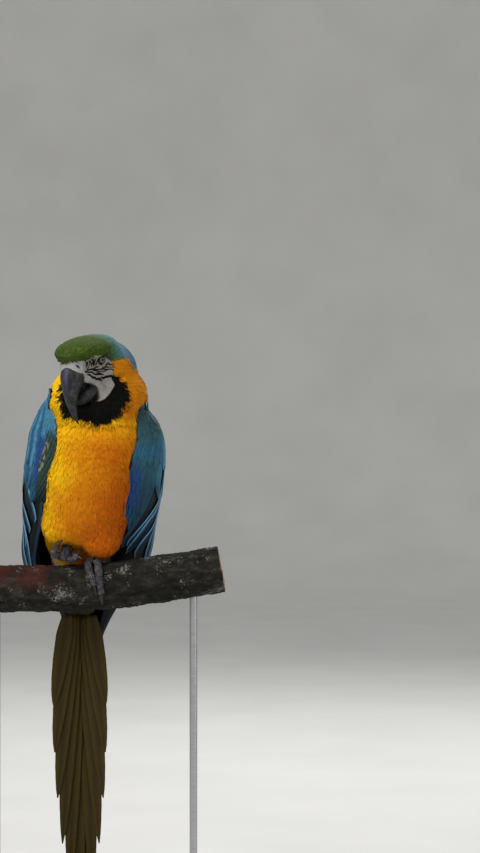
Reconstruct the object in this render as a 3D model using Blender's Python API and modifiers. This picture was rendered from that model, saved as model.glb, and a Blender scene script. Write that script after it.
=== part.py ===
"""A blue-and-yellow macaw at life size, perched on a cut length of branch that a plain display stand holds up.

The bird faces -Y with its head turned to its right and its bill lowered. Its left foot grips the branch and
its right foot rests on it, half closed. The origin is the middle of the stand's underside, +Z is up.
Lengths below are in millimetres, and are turned to metres as the meshes are made.
"""

import math

import bmesh
import bpy
import numpy as np
from mathutils import Matrix, Vector

MM = 0.001
GAP = 0.4  # air left between neighbouring solids

# The branch: a gently rising round limb along X, cut to length.
PERCH_HALF_LENGTH = 165
PERCH_RADIUS = 31
PERCH_AXIS = [(-165, 520), (-97, 519.5), (6, 521.5), (71, 530), (110, 535.5), (165, 545)]  # x, z

# The stand: a flat base and two rods up into the branch.
BASE_SIZE = (350, 250, 18)
ROD_RADIUS = 5
ROD_X = 128
ROD_SEAT = 10  # how deep a rod sits in the base and in the branch

BODY_TRIANGLES = 1650  # in the whole body, before it is parted

# Where the body is parted, by height, and by the planes behind the belly and between the thighs.
NECK_LINE = 733
BELLY_LINE = 642
THIGH_LINE = 592
BACK_LINE = 36
BETWEEN_THIGHS = -16

# The head's frame: forward, left and up, from the point midway between the eyes.
HEAD_CENTRE = (-7.6, -45, 815)
HEAD_YAW = math.radians(30)
HEAD_PITCH = math.radians(14)
EYE_SPREAD = 19.0
EYE_RADIUS = 7.0

# Horizontal sections of the trunk and neck: height, middle x, half width, front y, back y.
TRUNK = [
    (480, -25, 19, 62, 89),
    (500, -25, 27, 52, 91),
    (524, -24, 33, 44, 92),
    (546, -22, 39, 36, 93),
    (562, -20, 45, 24, 92),
    (576, -17, 51, -18, 91),
    (594, -14, 56, -42, 90),
    (622, -11, 59, -52, 88),
    (656, -7, 62, -58, 84),
    (690, -1, 63, -62, 79),
    (714, 2, 62, -59, 71),
    (736, 4, 59, -53, 64),
    (748, 4, 61, -51, 60),
    (762, 5, 64.5, -50, 56),
    (776, 6, 63.5, -48, 53),
    (790, 6, 59, -43, 50),
    (800, 8, 50, -38, 44),
]

# Rounded masses that swell the loft: frame, middle, radii. "head" is forward, left, up; "world" is x, y, z.
MASSES = [
    ("head", (-6, 0, -6), (42, 22.5, 28)),  # skull
    ("head", (0, 0, 15.5), (51.5, 35, 15.5)),  # the full cap of crown feathers
    ("head", (20, 0, -16), (21, 20, 26)),  # lores and face
    ("head", (35, 0, -3), (14, 18.5, 13.5)),  # cere, round the root of the bill
    ("head", (6, 0, -36), (20, 23.5, 20)),  # bare cheeks and the jaw
    ("head", (-30, 0, -12), (32, 37, 36)),  # ear coverts
    ("world", (15, 2, 797), (44, 38, 47)),  # hind crown and nape
    ("world", (8, 22, 772), (50, 38, 42)),  # hind neck
    ("world", (3, -14, 758), (62, 43, 25)),  # the ruffled throat
    ("world", (-46, -3, 602), (24, 38, 27)),  # right thigh
    ("world", (9, -5, 585), (27, 34, 27)),  # left thigh
]

# Each folded wing's outer surface, by height: middle x, half width, the y of its widest line,
# how far it reaches in front of and behind that line, and the angles of its front and back edges.
LEFT_WING = [
    (400, -25, 18, 94, 5, 8, -48, 78),
    (440, -23, 25, 89, 8, 15, -50, 82),
    (490, -20, 46, 80, 14, 23, -54, 84),
    (522, -15, 67, 70, 22, 32, -59, 85),
    (560, -11, 82, 55, 30, 44, -63, 85),
    (600, -6.5, 85.5, 38, 40, 55, -59, 84),
    (640, -4, 91, 26, 50, 63, -57, 82),
    (669, -2.5, 93, 18, 56, 66, -55, 79),
    (700, -1, 92.5, 12, 56, 64, -50, 76),
    (722, 0, 88, 8, 48, 58, -46, 70),
    (738, 0, 81, 5, 38, 50, -44, 62),
    (752, 0, 70, 3, 24, 38, -40, 50),
]
RIGHT_WING = [
    (400, -25, 18, 94, 5, 8, -48, 78),
    (440, -25, 22, 89, 8, 15, -50, 82),
    (490, -24, 33, 80, 14, 23, -50, 84),
    (522, -20, 70, 70, 22, 32, -48, 85),
    (556, -12, 88.5, 56, 30, 43, -46, 85),
    (600, -6.5, 92, 38, 40, 55, -45, 84),
    (640, -4, 93.5, 26, 50, 63, -49, 82),
    (669, -2.5, 92.5, 18, 56, 66, -52, 79),
    (703, -1, 88.5, 12, 56, 64, -52, 76),
    (723, 0, 86, 8, 49, 60, -50, 70),
    (742, 0, 78, 6, 38, 52, -45, 62),
    (758, 0, 70, 4, 28, 40, -34, 52),
    (770, 0, 61, 3, 18, 28, -22, 42),
]
WING_ELBOW = 655
FEATHERS_IN_PLATE = 5
FEATHER_STEP = 1.1  # relief between neighbouring flight feathers
TUCK = 1.5  # air between the body and the inside of a wing

# The tail: six pairs of graduated feathers, the middle pair longest and furthest back.
TAIL_ROOT = (-25, 82, 479.4)
TAIL_LEAN = math.radians(4.0)
TAIL_PAIRS = 6
TAIL_LONGEST = 434
TAIL_STEP = 62
TAIL_HALF_WIDTH = 13
TAIL_ARCH = 3.0  # how far the tail's edges hang forward of its middle
TAIL_THICKNESS = 0.8
TAIL_SPACING = 1.3
TAIL_FAN = math.radians(1.6)

COLOURS = {
    "crown": ((0.10, 0.22, 0.03), 0.7),
    "neck": ((0.85, 0.42, 0.01), 0.7),
    "breast": ((0.88, 0.40, 0.01), 0.7),
    "back": ((0.02, 0.22, 0.42), 0.6),
    "bill": ((0.02, 0.02, 0.022), 0.35),
    "eye": ((0.75, 0.72, 0.45), 0.1),
    "foot": ((0.09, 0.085, 0.09), 0.6),
    "claw": ((0.015, 0.014, 0.014), 0.3),
    "wing_coverts": ((0.02, 0.24, 0.40), 0.55),
    "flight_feathers": ((0.01, 0.10, 0.42), 0.5),
    "tail": ((0.25, 0.17, 0.02), 0.55),
    "bark": ((0.07, 0.055, 0.045), 0.9),
    "stand_base": ((0.035, 0.03, 0.028), 0.5),
    "stand_rod": ((0.55, 0.55, 0.56), 0.3),
}


def between(stations, t):
    """The values at t of a smooth curve through the stations, whose first number is t's own."""
    table = np.array(stations, float)
    keys, values = table[:, 0], table[:, 1:]
    t = min(max(t, keys[0]), keys[-1])
    i = min(max(int(np.searchsorted(keys, t)) - 1, 0), len(keys) - 2)
    slopes = np.gradient(values, keys, axis=0)
    span = keys[i + 1] - keys[i]
    s = (t - keys[i]) / span
    return (
        (2 * s**3 - 3 * s**2 + 1) * values[i]
        + (s**3 - 2 * s**2 + s) * span * slopes[i]
        + (3 * s**2 - 2 * s**3) * values[i + 1]
        + (s**3 - s**2) * span * slopes[i + 1]
    )


def head_frame():
    """The matrix from the head's forward, left and up, in millimetres, to the world's."""
    cy, sy = math.cos(HEAD_YAW), math.sin(HEAD_YAW)
    cp, sp = math.cos(HEAD_PITCH), math.sin(HEAD_PITCH)
    forward = Vector((-sy * cp, -cy * cp, -sp))
    left = Vector((cy, -sy, 0))
    up = forward.cross(left)
    turned = Matrix((forward, left, up)).transposed().to_4x4()
    return Matrix.Translation(HEAD_CENTRE) @ turned


HEAD = head_frame()


def clear_scene():
    for obj in list(bpy.data.objects):
        bpy.data.objects.remove(obj)


def make_materials():
    for name, (colour, roughness) in COLOURS.items():
        material = bpy.data.materials.new(name)
        material.use_nodes = True
        shader = material.node_tree.nodes["Principled BSDF"]
        shader.inputs["Base Color"].default_value = (*colour, 1)
        shader.inputs["Roughness"].default_value = roughness
        shader.inputs["Metallic"].default_value = 1.0 if name == "stand_rod" else 0.0


def collection(name):
    made = bpy.data.collections.new(name)
    bpy.context.scene.collection.children.link(made)
    return made


def add(name, mesh, slot):
    """A part of the model, in its own material."""
    obj = bpy.data.objects.new(name, mesh)
    PARTS.objects.link(obj)
    mesh.materials.clear()
    mesh.materials.append(bpy.data.materials[slot])
    mesh.shade_smooth()
    mesh.set_sharp_from_angle(angle=math.radians(40))
    return obj


def helper(name, mesh):
    """A cutter or a guide, which isn't part of the model."""
    obj = bpy.data.objects.new(name, mesh)
    HELPERS.objects.link(obj)
    obj.hide_render = True
    obj.display_type = "WIRE"
    return obj


def mesh_of(bm, name):
    bmesh.ops.recalc_face_normals(bm, faces=bm.faces)
    mesh = bpy.data.meshes.new(name)
    bm.to_mesh(mesh)
    bm.free()
    return mesh


def evaluated(obj):
    """The object's mesh with its modifiers applied."""
    bpy.context.view_layer.update()
    graph = bpy.context.evaluated_depsgraph_get()
    return bpy.data.meshes.new_from_object(obj.evaluated_get(graph))


def applied(obj):
    """Puts the object's modifiers into its mesh."""
    mesh = evaluated(obj)
    obj.modifiers.clear()
    obj.data = mesh
    return obj


def cut(obj, *cutters):
    """Takes the cutters out of the object."""
    for cutter in cutters:
        boolean = obj.modifiers.new("cut", "BOOLEAN")
        boolean.operation = "DIFFERENCE"
        boolean.object = cutter
    return applied(obj)


def loft(name, rings):
    """A closed skin through rings of the same number of points, in millimetres, with flat ends."""
    bm = bmesh.new()
    rows = [[bm.verts.new(Vector(p) * MM) for p in ring] for ring in rings]
    for low, high in zip(rows, rows[1:]):
        for i in range(len(low)):
            j = (i + 1) % len(low)
            bm.faces.new((low[i], low[j], high[j], high[i]))
    bm.faces.new(rows[0][::-1])
    bm.faces.new(rows[-1])
    return mesh_of(bm, name)


def tube(name, path, radii, sides=8):
    """A bent bar along a path with a radius at each point, in millimetres, as a mesh."""
    curve = bpy.data.curves.new(name, "CURVE")
    curve.dimensions = "3D"
    curve.bevel_depth = MM
    curve.bevel_resolution = sides // 2 - 2
    curve.use_fill_caps = True
    spline = curve.splines.new("POLY")
    spline.points.add(len(path) - 1)
    for point, place, radius in zip(spline.points, path, radii):
        point.co = (*(Vector(place) * MM), 1)
        point.radius = radius
    obj = helper(name + "_line", curve)
    mesh = evaluated(obj)
    bpy.data.objects.remove(obj)
    bm = bmesh.new()
    bm.from_mesh(mesh)
    bmesh.ops.remove_doubles(bm, verts=bm.verts, dist=1e-6)
    return mesh_of(bm, name)


def spread_points(points, count):
    """That many points along a smooth curve through the given ones, evenly by their number."""
    stations = [(i, *p) for i, p in enumerate(points)]
    return [between(stations, t) for t in np.linspace(0, len(points) - 1, count)]


# ---- body -------------------------------------------------------------------------------------


def trunk_ring(height, points=32):
    """One horizontal section of the trunk: an oval with slightly squared shoulders."""
    middle, half_width, front, back = between(TRUNK, height)
    half_depth, y = (back - front) / 2, (back + front) / 2
    ring = []
    for i in range(points):
        a = 2 * math.pi * i / points
        c, s = math.cos(a), math.sin(a)
        squared = (abs(c) ** 2.25 + abs(s) ** 2.25) ** (-1 / 2.25)
        ring.append((middle + half_width * c * squared, y + half_depth * s * squared, height))
    return ring


def whole_body():
    """Trunk, neck, head and thighs as one closed skin, before it is parted."""
    heights = np.linspace(TRUNK[0][0], TRUNK[-1][0], 48)
    mesh = loft("whole", [trunk_ring(h) for h in heights])
    bm = bmesh.new()
    bm.from_mesh(mesh)
    for frame, middle, radii in MASSES:
        place = HEAD if frame == "head" else Matrix.Identity(4)
        shape = place @ Matrix.Translation(middle) @ Matrix.Diagonal((*radii, 1))
        bmesh.ops.create_icosphere(
            bm, subdivisions=4, radius=1, matrix=Matrix.Scale(MM, 4) @ shape
        )
    obj = helper("whole_body", mesh_of(bm, "whole_body"))
    remesh = obj.modifiers.new("one_skin", "REMESH")
    remesh.mode = "VOXEL"
    remesh.voxel_size = 3.0 * MM
    smooth = obj.modifiers.new("soften", "SMOOTH")
    smooth.iterations = 7
    smooth.factor = 0.6
    applied(obj)
    decimate = obj.modifiers.new("fewer_faces", "DECIMATE")
    decimate.ratio = BODY_TRIANGLES / (2 * len(obj.data.polygons))
    applied(obj)
    for vert in obj.data.vertices:
        for side in (1, -1):
            vert.co = tucked_in(vert.co / MM, side) * MM
    return obj


def tucked_in(point, side):
    """The point, or where it lies under a folded wing, its place just inside the wing."""
    table = LEFT_WING if side > 0 else RIGHT_WING
    if not table[0][0] < point.z < table[-1][0] + 4:
        return point
    middle, half_width, y, front, back, start, end = between(table, point.z)
    across, along = side * (point.x - middle), point.y - y
    depth = front if along < 0 else back
    angle = math.degrees(math.atan2(along / depth, across / half_width))
    u = (angle - start) / (end - start)
    reach = math.hypot(across / half_width, along / depth)
    if not -0.01 < u < 1.05:
        return point
    inside = wing_thickness(min(max(u, 0), 1), point.z) + TUCK
    limit = 1 - inside / min(half_width, depth)
    back_in = max(0, 1 - limit / reach)
    return Vector((point.x - side * across * back_in, point.y - along * back_in, point.z))


def keep_side(bm, point, normal):
    """Cuts the closed mesh flat and keeps what lies on the normal's side."""
    everything = bm.verts[:] + bm.edges[:] + bm.faces[:]
    done = bmesh.ops.bisect_plane(
        bm,
        geom=everything,
        plane_co=Vector(point) * MM,
        plane_no=Vector(normal),
        clear_inner=True,
        dist=1e-7,
    )
    rim = [e for e in done["geom_cut"] if isinstance(e, bmesh.types.BMEdge)]
    if rim:
        bmesh.ops.triangle_fill(bm, edges=rim, use_beauty=True)


def piece_of(whole, name, slot, planes):
    """The stretch of the whole body on the inner side of every plane, each moved in by half a gap."""
    bm = bmesh.new()
    bm.from_mesh(whole.data)
    for point, normal in planes:
        inward = Vector(normal).normalized()
        keep_side(bm, Vector(point) + inward * GAP / 2, inward)
    bmesh.ops.dissolve_degenerate(bm, edges=bm.edges, dist=2e-5)
    return add(name, mesh_of(bm, name), slot)


def flipped(plane):
    point, normal = plane
    return point, tuple(-x for x in normal)


def body_pieces(whole):
    """Parts the body where a person would: head, neck, breast, belly, back and thighs."""
    head_normal = HEAD.to_3x3() @ Vector((0.4, 0, 0.92))
    to_head = (HEAD @ Vector((0, 0, -49)), tuple(head_normal))
    to_neck = ((0, 0, NECK_LINE), (0, 0.25, 1))
    to_breast = ((0, 0, BELLY_LINE), (0, 0.1, 1))
    to_back = ((0, BACK_LINE, BELLY_LINE), (0, 1, 0.12))
    to_thigh = ((0, 0, THIGH_LINE), (0, 0, -1))
    left_thigh = ((BETWEEN_THIGHS, 0, 0), (1, 0, 0))
    right_thigh = flipped(left_thigh)
    front = flipped(to_back)
    plan = {
        "head": ("crown", [to_head]),
        "neck": ("neck", [flipped(to_head), to_neck]),
        "breast": ("breast", [flipped(to_neck), to_breast, front]),
        "back": ("back", [flipped(to_neck), to_back]),
        "belly": ("breast", [flipped(to_breast), front, flipped(to_thigh)]),
        "thigh_left": ("breast", [to_thigh, front, left_thigh]),
        "thigh_right": ("breast", [to_thigh, front, right_thigh]),
    }
    return {n: piece_of(whole, n, slot, planes) for n, (slot, planes) in plan.items()}


# ---- bill and eyes ----------------------------------------------------------------------------


def bezier(points, t):
    """A point on the cubic through its four control points."""
    a, b, c, d = (Vector(p) for p in points)
    s = 1 - t
    return a * s**3 + b * 3 * s * s * t + c * 3 * s * t * t + d * t**3


# Side outlines in the head's frame, as forward and up: ridge and cutting edge of each half of the bill.
CULMEN = [(43, 4), (60, -1), (66.5, -46), (40, -75)]
UPPER_EDGE = [(24, -20), (35, -26), (43, -45), (39, -74)]
LOWER_EDGE = [(12, -26), (22, -29), (32, -35), (38, -42)]
LOWER_KEEL = [(9, -45), (19, -57), (33, -59), (39.5, -45)]
UPPER_WIDTH = [(-0.3, 15), (0, 17), (0.25, 15.8), (0.5, 11.8), (0.75, 6.4), (0.92, 2.8), (1, 1.0)]
LOWER_WIDTH = [(-0.3, 13), (0, 16.5), (0.4, 16.5), (0.7, 13), (0.9, 9), (1, 6)]
BILL_ROOT = 12  # how far the bill's root runs back inside the head


def bill_half(name, ridge, edge, widths, narrow_ridge, grow=0.0, rings=11, points=10):
    """One half of the bill: sections between its ridge and its edge, wider at the edge than at the ridge."""
    made = []
    for t in np.linspace(-0.18, 1, rings):
        r, e = bezier(ridge, max(t, 0)), bezier(edge, max(t, 0))
        if t < 0:
            back = Vector((-BILL_ROOT * t / -0.18, 0))
            r, e = r + back, e + back
        middle, half = (r + e) / 2, (r - e) / 2
        half *= 1 + grow / max(half.length, 0.5)
        width = between(widths, t)[0] + grow
        ring = []
        for i in range(points):
            a = 2 * math.pi * (i + 0.5) / points
            c, s = math.cos(a), math.sin(a)
            narrowed = 1 - narrow_ridge * max(s, 0) ** 1.5
            squared = (abs(c) ** 2.6 + abs(s) ** 2.6) ** (-1 / 2.6)
            along = middle + half * s * squared
            ring.append(HEAD @ Vector((along.x, width * c * squared * narrowed, along.y)))
        made.append(ring)
    return loft(name, made)


def bill_and_eyes(head):
    """The two halves of the bill and the eyes, each in a socket cut into the head."""
    upper = ("upper", CULMEN, UPPER_EDGE, UPPER_WIDTH, 0.6)
    lower = ("lower", LOWER_KEEL, LOWER_EDGE, LOWER_WIDTH, 0.34)
    cutters = []
    made = {}
    for label, *shape in (upper, lower):
        made[label] = add("bill_" + label, bill_half("bill_" + label, *shape), "bill")
        cutters.append(helper(f"bill_{label}_cutter", bill_half("cutter", *shape, grow=1.3 * GAP)))
    cut(made["lower"], cutters[0])
    for side, sign in (("left", 1), ("right", -1)):
        centre = Matrix.Translation(HEAD @ Vector((0, sign * EYE_SPREAD, 0)) * MM)
        for grow, label in ((0, "eye_"), (GAP, "eye_cutter_")):
            bm = bmesh.new()
            bmesh.ops.create_uvsphere(
                bm, u_segments=10, v_segments=7, radius=(EYE_RADIUS + grow) * MM, matrix=centre
            )
            mesh = mesh_of(bm, label + side)
            if grow:
                cutters.append(helper(label + side, mesh))
            else:
                add(label + side, mesh, "eye")
    cut(head, *cutters)
    return cutters


# ---- wings ------------------------------------------------------------------------------------


def wing_point(side, u, height, lift=0.0):
    """A point of the folded wing's outer surface: u runs from its front edge to its back edge."""
    table = LEFT_WING if side > 0 else RIGHT_WING
    middle, half_width, y, front, back, start, end = between(table, height)
    a = math.radians(start + (end - start) * u)
    depth = front if a < 0 else back
    x = middle + side * (half_width + lift) * math.cos(a)
    return Vector((x, y + (depth + lift) * math.sin(a), height))


def secondary_tips(u):
    """How low the inner flight feathers reach."""
    return WING_ELBOW - 18 - 112 * u**1.2


def primary_tips(u):
    """How low the long outer flight feathers reach."""
    return 400 + 60 * abs(u - 0.55) ** 1.5


def wing_thickness(u, height):
    """How thick the folded wing is: full at the shoulder, thin at its edges and towards its tips."""
    middle_of_plate = math.sin(math.pi * min(max(u, 0.05), 0.95))
    if height > WING_ELBOW:
        full = min(1, (height - WING_ELBOW) / 25)
        return 2 + (3.5 + 6 * full) * middle_of_plate
    fall = max(0, (height - 500) / (WING_ELBOW - 500))
    return 1.9 + 3.6 * fall * middle_of_plate


def shell(name, outer, inner):
    """A closed plate between two grids of points, in millimetres, that share their rows and columns."""
    bm = bmesh.new()
    sheets = [[[bm.verts.new(p * MM) for p in row] for row in grid] for grid in (outer, inner)]
    rows, columns = len(outer), len(outer[0])
    for sheet in sheets:
        for r in range(rows - 1):
            for c in range(columns - 1):
                bm.faces.new((sheet[r][c], sheet[r][c + 1], sheet[r + 1][c + 1], sheet[r + 1][c]))
    rim = [(0, c) for c in range(columns)] + [(r, columns - 1) for r in range(1, rows)]
    rim += [(rows - 1, c) for c in range(columns - 2, -1, -1)] + [(r, 0) for r in range(rows - 2, 0, -1)]
    for (r0, c0), (r1, c1) in zip(rim, rim[1:] + rim[:1]):
        bm.faces.new((sheets[0][r0][c0], sheets[0][r1][c1], sheets[1][r1][c1], sheets[1][r0][c0]))
    return mesh_of(bm, name)


def wing_plate(name, side, columns, rows, low, high, relief=0.0, grow=0.0):
    """A curved plate of the folded wing between two edges given as functions of u."""
    outer, inner = [], []
    for row in range(rows + 1):
        down = row / rows
        outer.append([])
        inner.append([])
        for column in range(columns + 1):
            u = column / columns
            top, bottom = high(u) + grow, low(u) - grow
            height = top + (bottom - top) * down
            step = (u * FEATHERS_IN_PLATE) % 1.0 if 0 < u < 1 else 0.0
            wider = u + grow * (2 * u - 1) / 60  # opens a cutter at its front and back
            outer[-1].append(wing_point(side, wider, height, grow - relief * step))
            inner[-1].append(wing_point(side, wider, height, -grow - wing_thickness(u, height)))
    return shell(name, outer, inner)


def wing(side):
    """Coverts over the shoulder, the inner flight feathers below them, and the outer ones lowest."""
    name = "wing_left_" if side > 0 else "wing_right_"
    top = (LEFT_WING if side > 0 else RIGHT_WING)[-1][0] - 2 * GAP
    half = GAP / 2
    feathers = 2 * FEATHERS_IN_PLATE
    plates = {
        "coverts": ("wing_coverts", 9, 6, 0, lambda u: WING_ELBOW + half, lambda u: top),
        "secondaries": (
            "wing_coverts", feathers, 3, FEATHER_STEP,
            lambda u: secondary_tips(u) + half, lambda u: WING_ELBOW - half,
        ),
        "primaries": (
            "flight_feathers", feathers, 5, FEATHER_STEP,
            primary_tips, lambda u: secondary_tips(u) - half,
        ),
    }
    cutters = []
    for label, (slot, columns, rows, relief, low, high) in plates.items():
        mesh = wing_plate(name + label, side, columns, rows, low, high, relief)
        add(name + label, mesh, slot)
        mesh = wing_plate("cutter", side, columns, rows, low, high, 0, GAP)
        cutters.append(helper(name + label + "_cutter", mesh))
    return cutters


# ---- tail -------------------------------------------------------------------------------------


def tail_feather(name, side, pair):
    """One tail feather: a thin blade that shares the tail's arch and narrows over its last third."""
    length = TAIL_LONGEST - TAIL_STEP * pair
    fan = side * TAIL_FAN * (pair + 0.3)
    rows = 6
    faces = [[], []]
    for row in range(rows + 1):
        down = (row / rows) ** 0.75
        taper = max(1 - down**3.2, 0.02) ** 0.7 * (0.62 + 0.38 * min(1, down * 5))
        half_width = (TAIL_HALF_WIDTH - 0.35 * pair) * taper
        y = length * down
        faces[0].append([])
        faces[1].append([])
        for x in (-half_width, 0, half_width):
            out = side * (1.0 + pair + 0.4 * pair * pair) + x * math.cos(fan) + y * math.sin(fan)
            depth = -TAIL_ARCH * (out / 30) ** 2 - TAIL_SPACING * (2 * pair + (side < 0))
            for face, offset in zip(faces, (0.5, -0.5)):
                face[-1].append(Vector((
                    TAIL_ROOT[0] + out,
                    TAIL_ROOT[1] + depth + y * math.sin(TAIL_LEAN) + offset * TAIL_THICKNESS,
                    TAIL_ROOT[2] - y * math.cos(fan) * math.cos(TAIL_LEAN),
                )))
    add(name, shell(name, *faces), "tail")


# ---- legs and feet ----------------------------------------------------------------------------


def perch_point(x, around, out):
    """A point beside the branch: around is the angle from its top towards the front, out from its bark."""
    z = between(PERCH_AXIS, x)[0]
    reach = PERCH_RADIUS + out
    return Vector((x, -reach * math.sin(around), z + reach * math.cos(around)))


TOE_RADIUS = 4.9
CLAW_RADIUS = 2.9

# Toes of the gripping left foot: where they start and end along the branch, and the angles they wrap.
GRIPPING_TOES = {
    "toe_inner_front": (-6.5, -6.0, 20, 82),
    "toe_outer_front": (4.5, 9.0, 20, 102),
    "toe_inner_back": (-6.5, -11.0, -20, -78),
    "toe_outer_back": (4.5, 11.0, -20, -98),
}

# Toes of the resting right foot, as points of a curve that curls in from the ball of the foot.
RESTING_TOES = {
    "toe_inner_front": [(-31.5, -23, 558), (-26, -27, 559), (-21, -25.5, 565)],
    "toe_outer_front": [(-49, -21, 562.5), (-51, -25, 569), (-47, -26.5, 576.5)],
    "toe_inner_back": [(-29.5, -9.5, 562), (-25, -8, 563), (-22, -9.5, 562)],
    "toe_outer_back": [(-46.5, -4.5, 562), (-49, 3, 562), (-47, 11, 559)],
}


def knuckled(count, start, end):
    """Radii along a toe, a little fuller at each joint."""
    radii = []
    for i in range(count):
        t = i / (count - 1)
        radii.append((start + (end - start) * t) * (1 + 0.07 * math.cos(6 * math.pi * t)))
    return radii


def claw(name, root, direction, bend, length):
    """A hooked claw from its root, turning towards bend as it goes."""
    path = [
        Vector(root) + direction * length * t + bend * length * 0.5 * t * t
        for t in np.linspace(0, 1, 5)
    ]
    radii = [CLAW_RADIUS * (1 - t) ** 0.75 + 0.3 for t in np.linspace(0, 1, 5)]
    return add(name, tube(name, path, radii, 6), "claw")


def gripping_foot():
    """The left foot: two toes over the front of the branch and two behind."""
    made = []
    for toe, (x0, x1, first, last) in GRIPPING_TOES.items():
        count = 7
        radii = knuckled(count, TOE_RADIUS, 3.4)
        angles = np.radians(np.linspace(first, last, count))
        xs = np.linspace(x0, x1, count)
        path = [perch_point(x, a, r + GAP) for x, a, r in zip(xs, angles, radii)]
        made.append(add("left_" + toe, tube(toe, path, radii), "foot"))
        forward = (path[-1] - path[-2]).normalized()
        inward = (perch_point(x1, angles[-1], 0) - path[-1]).normalized()
        root = path[-1] + forward * (GAP + 0.1) + inward * -0.4
        made.append(claw("left_" + toe.replace("toe", "claw"), root, forward, inward * 0.12, 14))
    top = perch_point(-1, 0, GAP + 1)
    path = [top, top + Vector((0, 0, 7)), top + Vector((0, 3, 14)), top + Vector((1, 9, 30))]
    made.append(add("leg_left", tube("leg_left", path, (8, 7.6, 5.6, 5.2), 10), "foot"))
    return made


def resting_foot():
    """The right foot: half closed on top of the branch."""
    made = []
    for toe, points in RESTING_TOES.items():
        path = [Vector(p) for p in spread_points(points, 6)]
        made.append(add("right_" + toe, tube(toe, path, knuckled(6, TOE_RADIUS, 3.4)), "foot"))
        forward = (path[-1] - path[-2]).normalized()
        turn = ((path[-1] - path[-2]) - (path[-3] - path[-4])).normalized()
        root = path[-1] + forward * (GAP + 0.1)
        made.append(claw("right_" + toe.replace("toe", "claw"), root, forward, turn * 0.55, 10))
    path = [(-39.5, -15, 556), (-39, -15, 563), (-36, -11, 573), (-32, -4, 590)]
    made.append(add("leg_right", tube("leg_right", path, (6.5, 8, 6.0, 5.4), 10), "foot"))
    return made


# ---- perch and stand --------------------------------------------------------------------------


def perch_and_stand():
    xs = np.linspace(-PERCH_HALF_LENGTH, PERCH_HALF_LENGTH, 9)
    path = [(x, 0, between(PERCH_AXIS, x)[0]) for x in xs]
    perch = add("perch", tube("perch", path, [PERCH_RADIUS] * len(path), 16), "bark")
    width, depth, height = BASE_SIZE
    bm = bmesh.new()
    middle = Matrix.Translation((0, 0, height / 2 * MM))
    bmesh.ops.create_cube(bm, size=MM, matrix=middle @ Matrix.Diagonal((width, depth, height, 1)))
    base = add("stand_base", mesh_of(bm, "stand_base"), "stand_base")
    bevel = base.modifiers.new("rounded", "BEVEL")
    bevel.width = 3 * MM
    bevel.segments = 1
    applied(base)
    for side, sign in (("left", 1), ("right", -1)):
        x = sign * ROD_X
        low = height - ROD_SEAT
        high = between(PERCH_AXIS, x)[0] - PERCH_RADIUS + ROD_SEAT
        for grow in (0, GAP):
            bm = bmesh.new()
            bmesh.ops.create_cone(
                bm,
                cap_ends=True,
                segments=16,
                radius1=(ROD_RADIUS + grow) * MM,
                radius2=(ROD_RADIUS + grow) * MM,
                depth=(high - low + 2 * grow) * MM,
                matrix=Matrix.Translation((x * MM, 0, (low + high) / 2 * MM)),
            )
            mesh = mesh_of(bm, "stand_rod_" + side)
            if grow:
                cutter = helper("rod_cutter_" + side, mesh)
            else:
                add("stand_rod_" + side, mesh, "stand_rod")
        cut(base, cutter)
        cut(perch, cutter)


# ---- the whole model --------------------------------------------------------------------------


def swollen(obj):
    """A copy of the object, larger by the gap all round, to cut its way into the plumage."""
    cutter = helper(obj.name + "_cutter", obj.data.copy())
    swell = cutter.modifiers.new("swell", "DISPLACE")
    swell.mid_level = 0
    swell.strength = GAP * MM
    return applied(cutter)


def build():
    make_materials()
    perch_and_stand()
    left_foot, right_foot = gripping_foot(), resting_foot()
    body = body_pieces(whole_body())
    bill_and_eyes(body["head"])
    wing_cutters = wing(1) + wing(-1)
    for name in ("neck", "breast", "back", "belly", "thigh_left", "thigh_right"):
        cut(body[name], *wing_cutters)
    cut(body["thigh_left"], *[swollen(piece) for piece in left_foot])
    right_cutters = [swollen(piece) for piece in right_foot]
    cut(body["thigh_right"], *right_cutters)
    cut(body["belly"], right_cutters[-1])
    for pair in range(TAIL_PAIRS):
        tail_feather(f"tail_feather_left_{pair + 1}", 1, pair)
        tail_feather(f"tail_feather_right_{pair + 1}", -1, pair)


clear_scene()
PARTS = collection("macaw")
HELPERS = collection("helpers")
build()
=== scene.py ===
"""The looks of a blue-and-yellow macaw on its perch and display stand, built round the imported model.

Lengths are in millimetres, and are turned to metres as the meshes are made. Plumage, skin, bill, eyes
and feet replace the plain solids. The skin is made from those solids, and the rest lies on it or on them.
"""

import itertools
import math

import bmesh
import bpy
import numpy as np
from mathutils import Matrix, Vector
from mathutils.bvhtree import BVHTree
from mathutils.kdtree import KDTree


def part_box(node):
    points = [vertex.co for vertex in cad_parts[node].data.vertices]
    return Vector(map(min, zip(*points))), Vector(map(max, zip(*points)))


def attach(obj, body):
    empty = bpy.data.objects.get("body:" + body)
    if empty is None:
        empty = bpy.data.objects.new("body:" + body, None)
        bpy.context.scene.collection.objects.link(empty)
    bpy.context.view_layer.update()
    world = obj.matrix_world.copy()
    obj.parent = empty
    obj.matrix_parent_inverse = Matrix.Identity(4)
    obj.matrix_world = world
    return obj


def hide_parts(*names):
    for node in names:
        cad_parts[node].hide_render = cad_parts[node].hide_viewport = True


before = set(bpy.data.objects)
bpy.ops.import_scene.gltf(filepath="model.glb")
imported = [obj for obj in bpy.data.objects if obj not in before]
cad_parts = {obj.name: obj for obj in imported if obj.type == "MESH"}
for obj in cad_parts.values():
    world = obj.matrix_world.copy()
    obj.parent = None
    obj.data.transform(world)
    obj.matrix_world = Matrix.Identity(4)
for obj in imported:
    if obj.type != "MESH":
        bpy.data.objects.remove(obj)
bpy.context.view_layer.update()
MM = 0.001
SIDES = {1: "left", -1: "right"}

# ---- numbers and colours ----------------------------------------------------------------------


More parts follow.
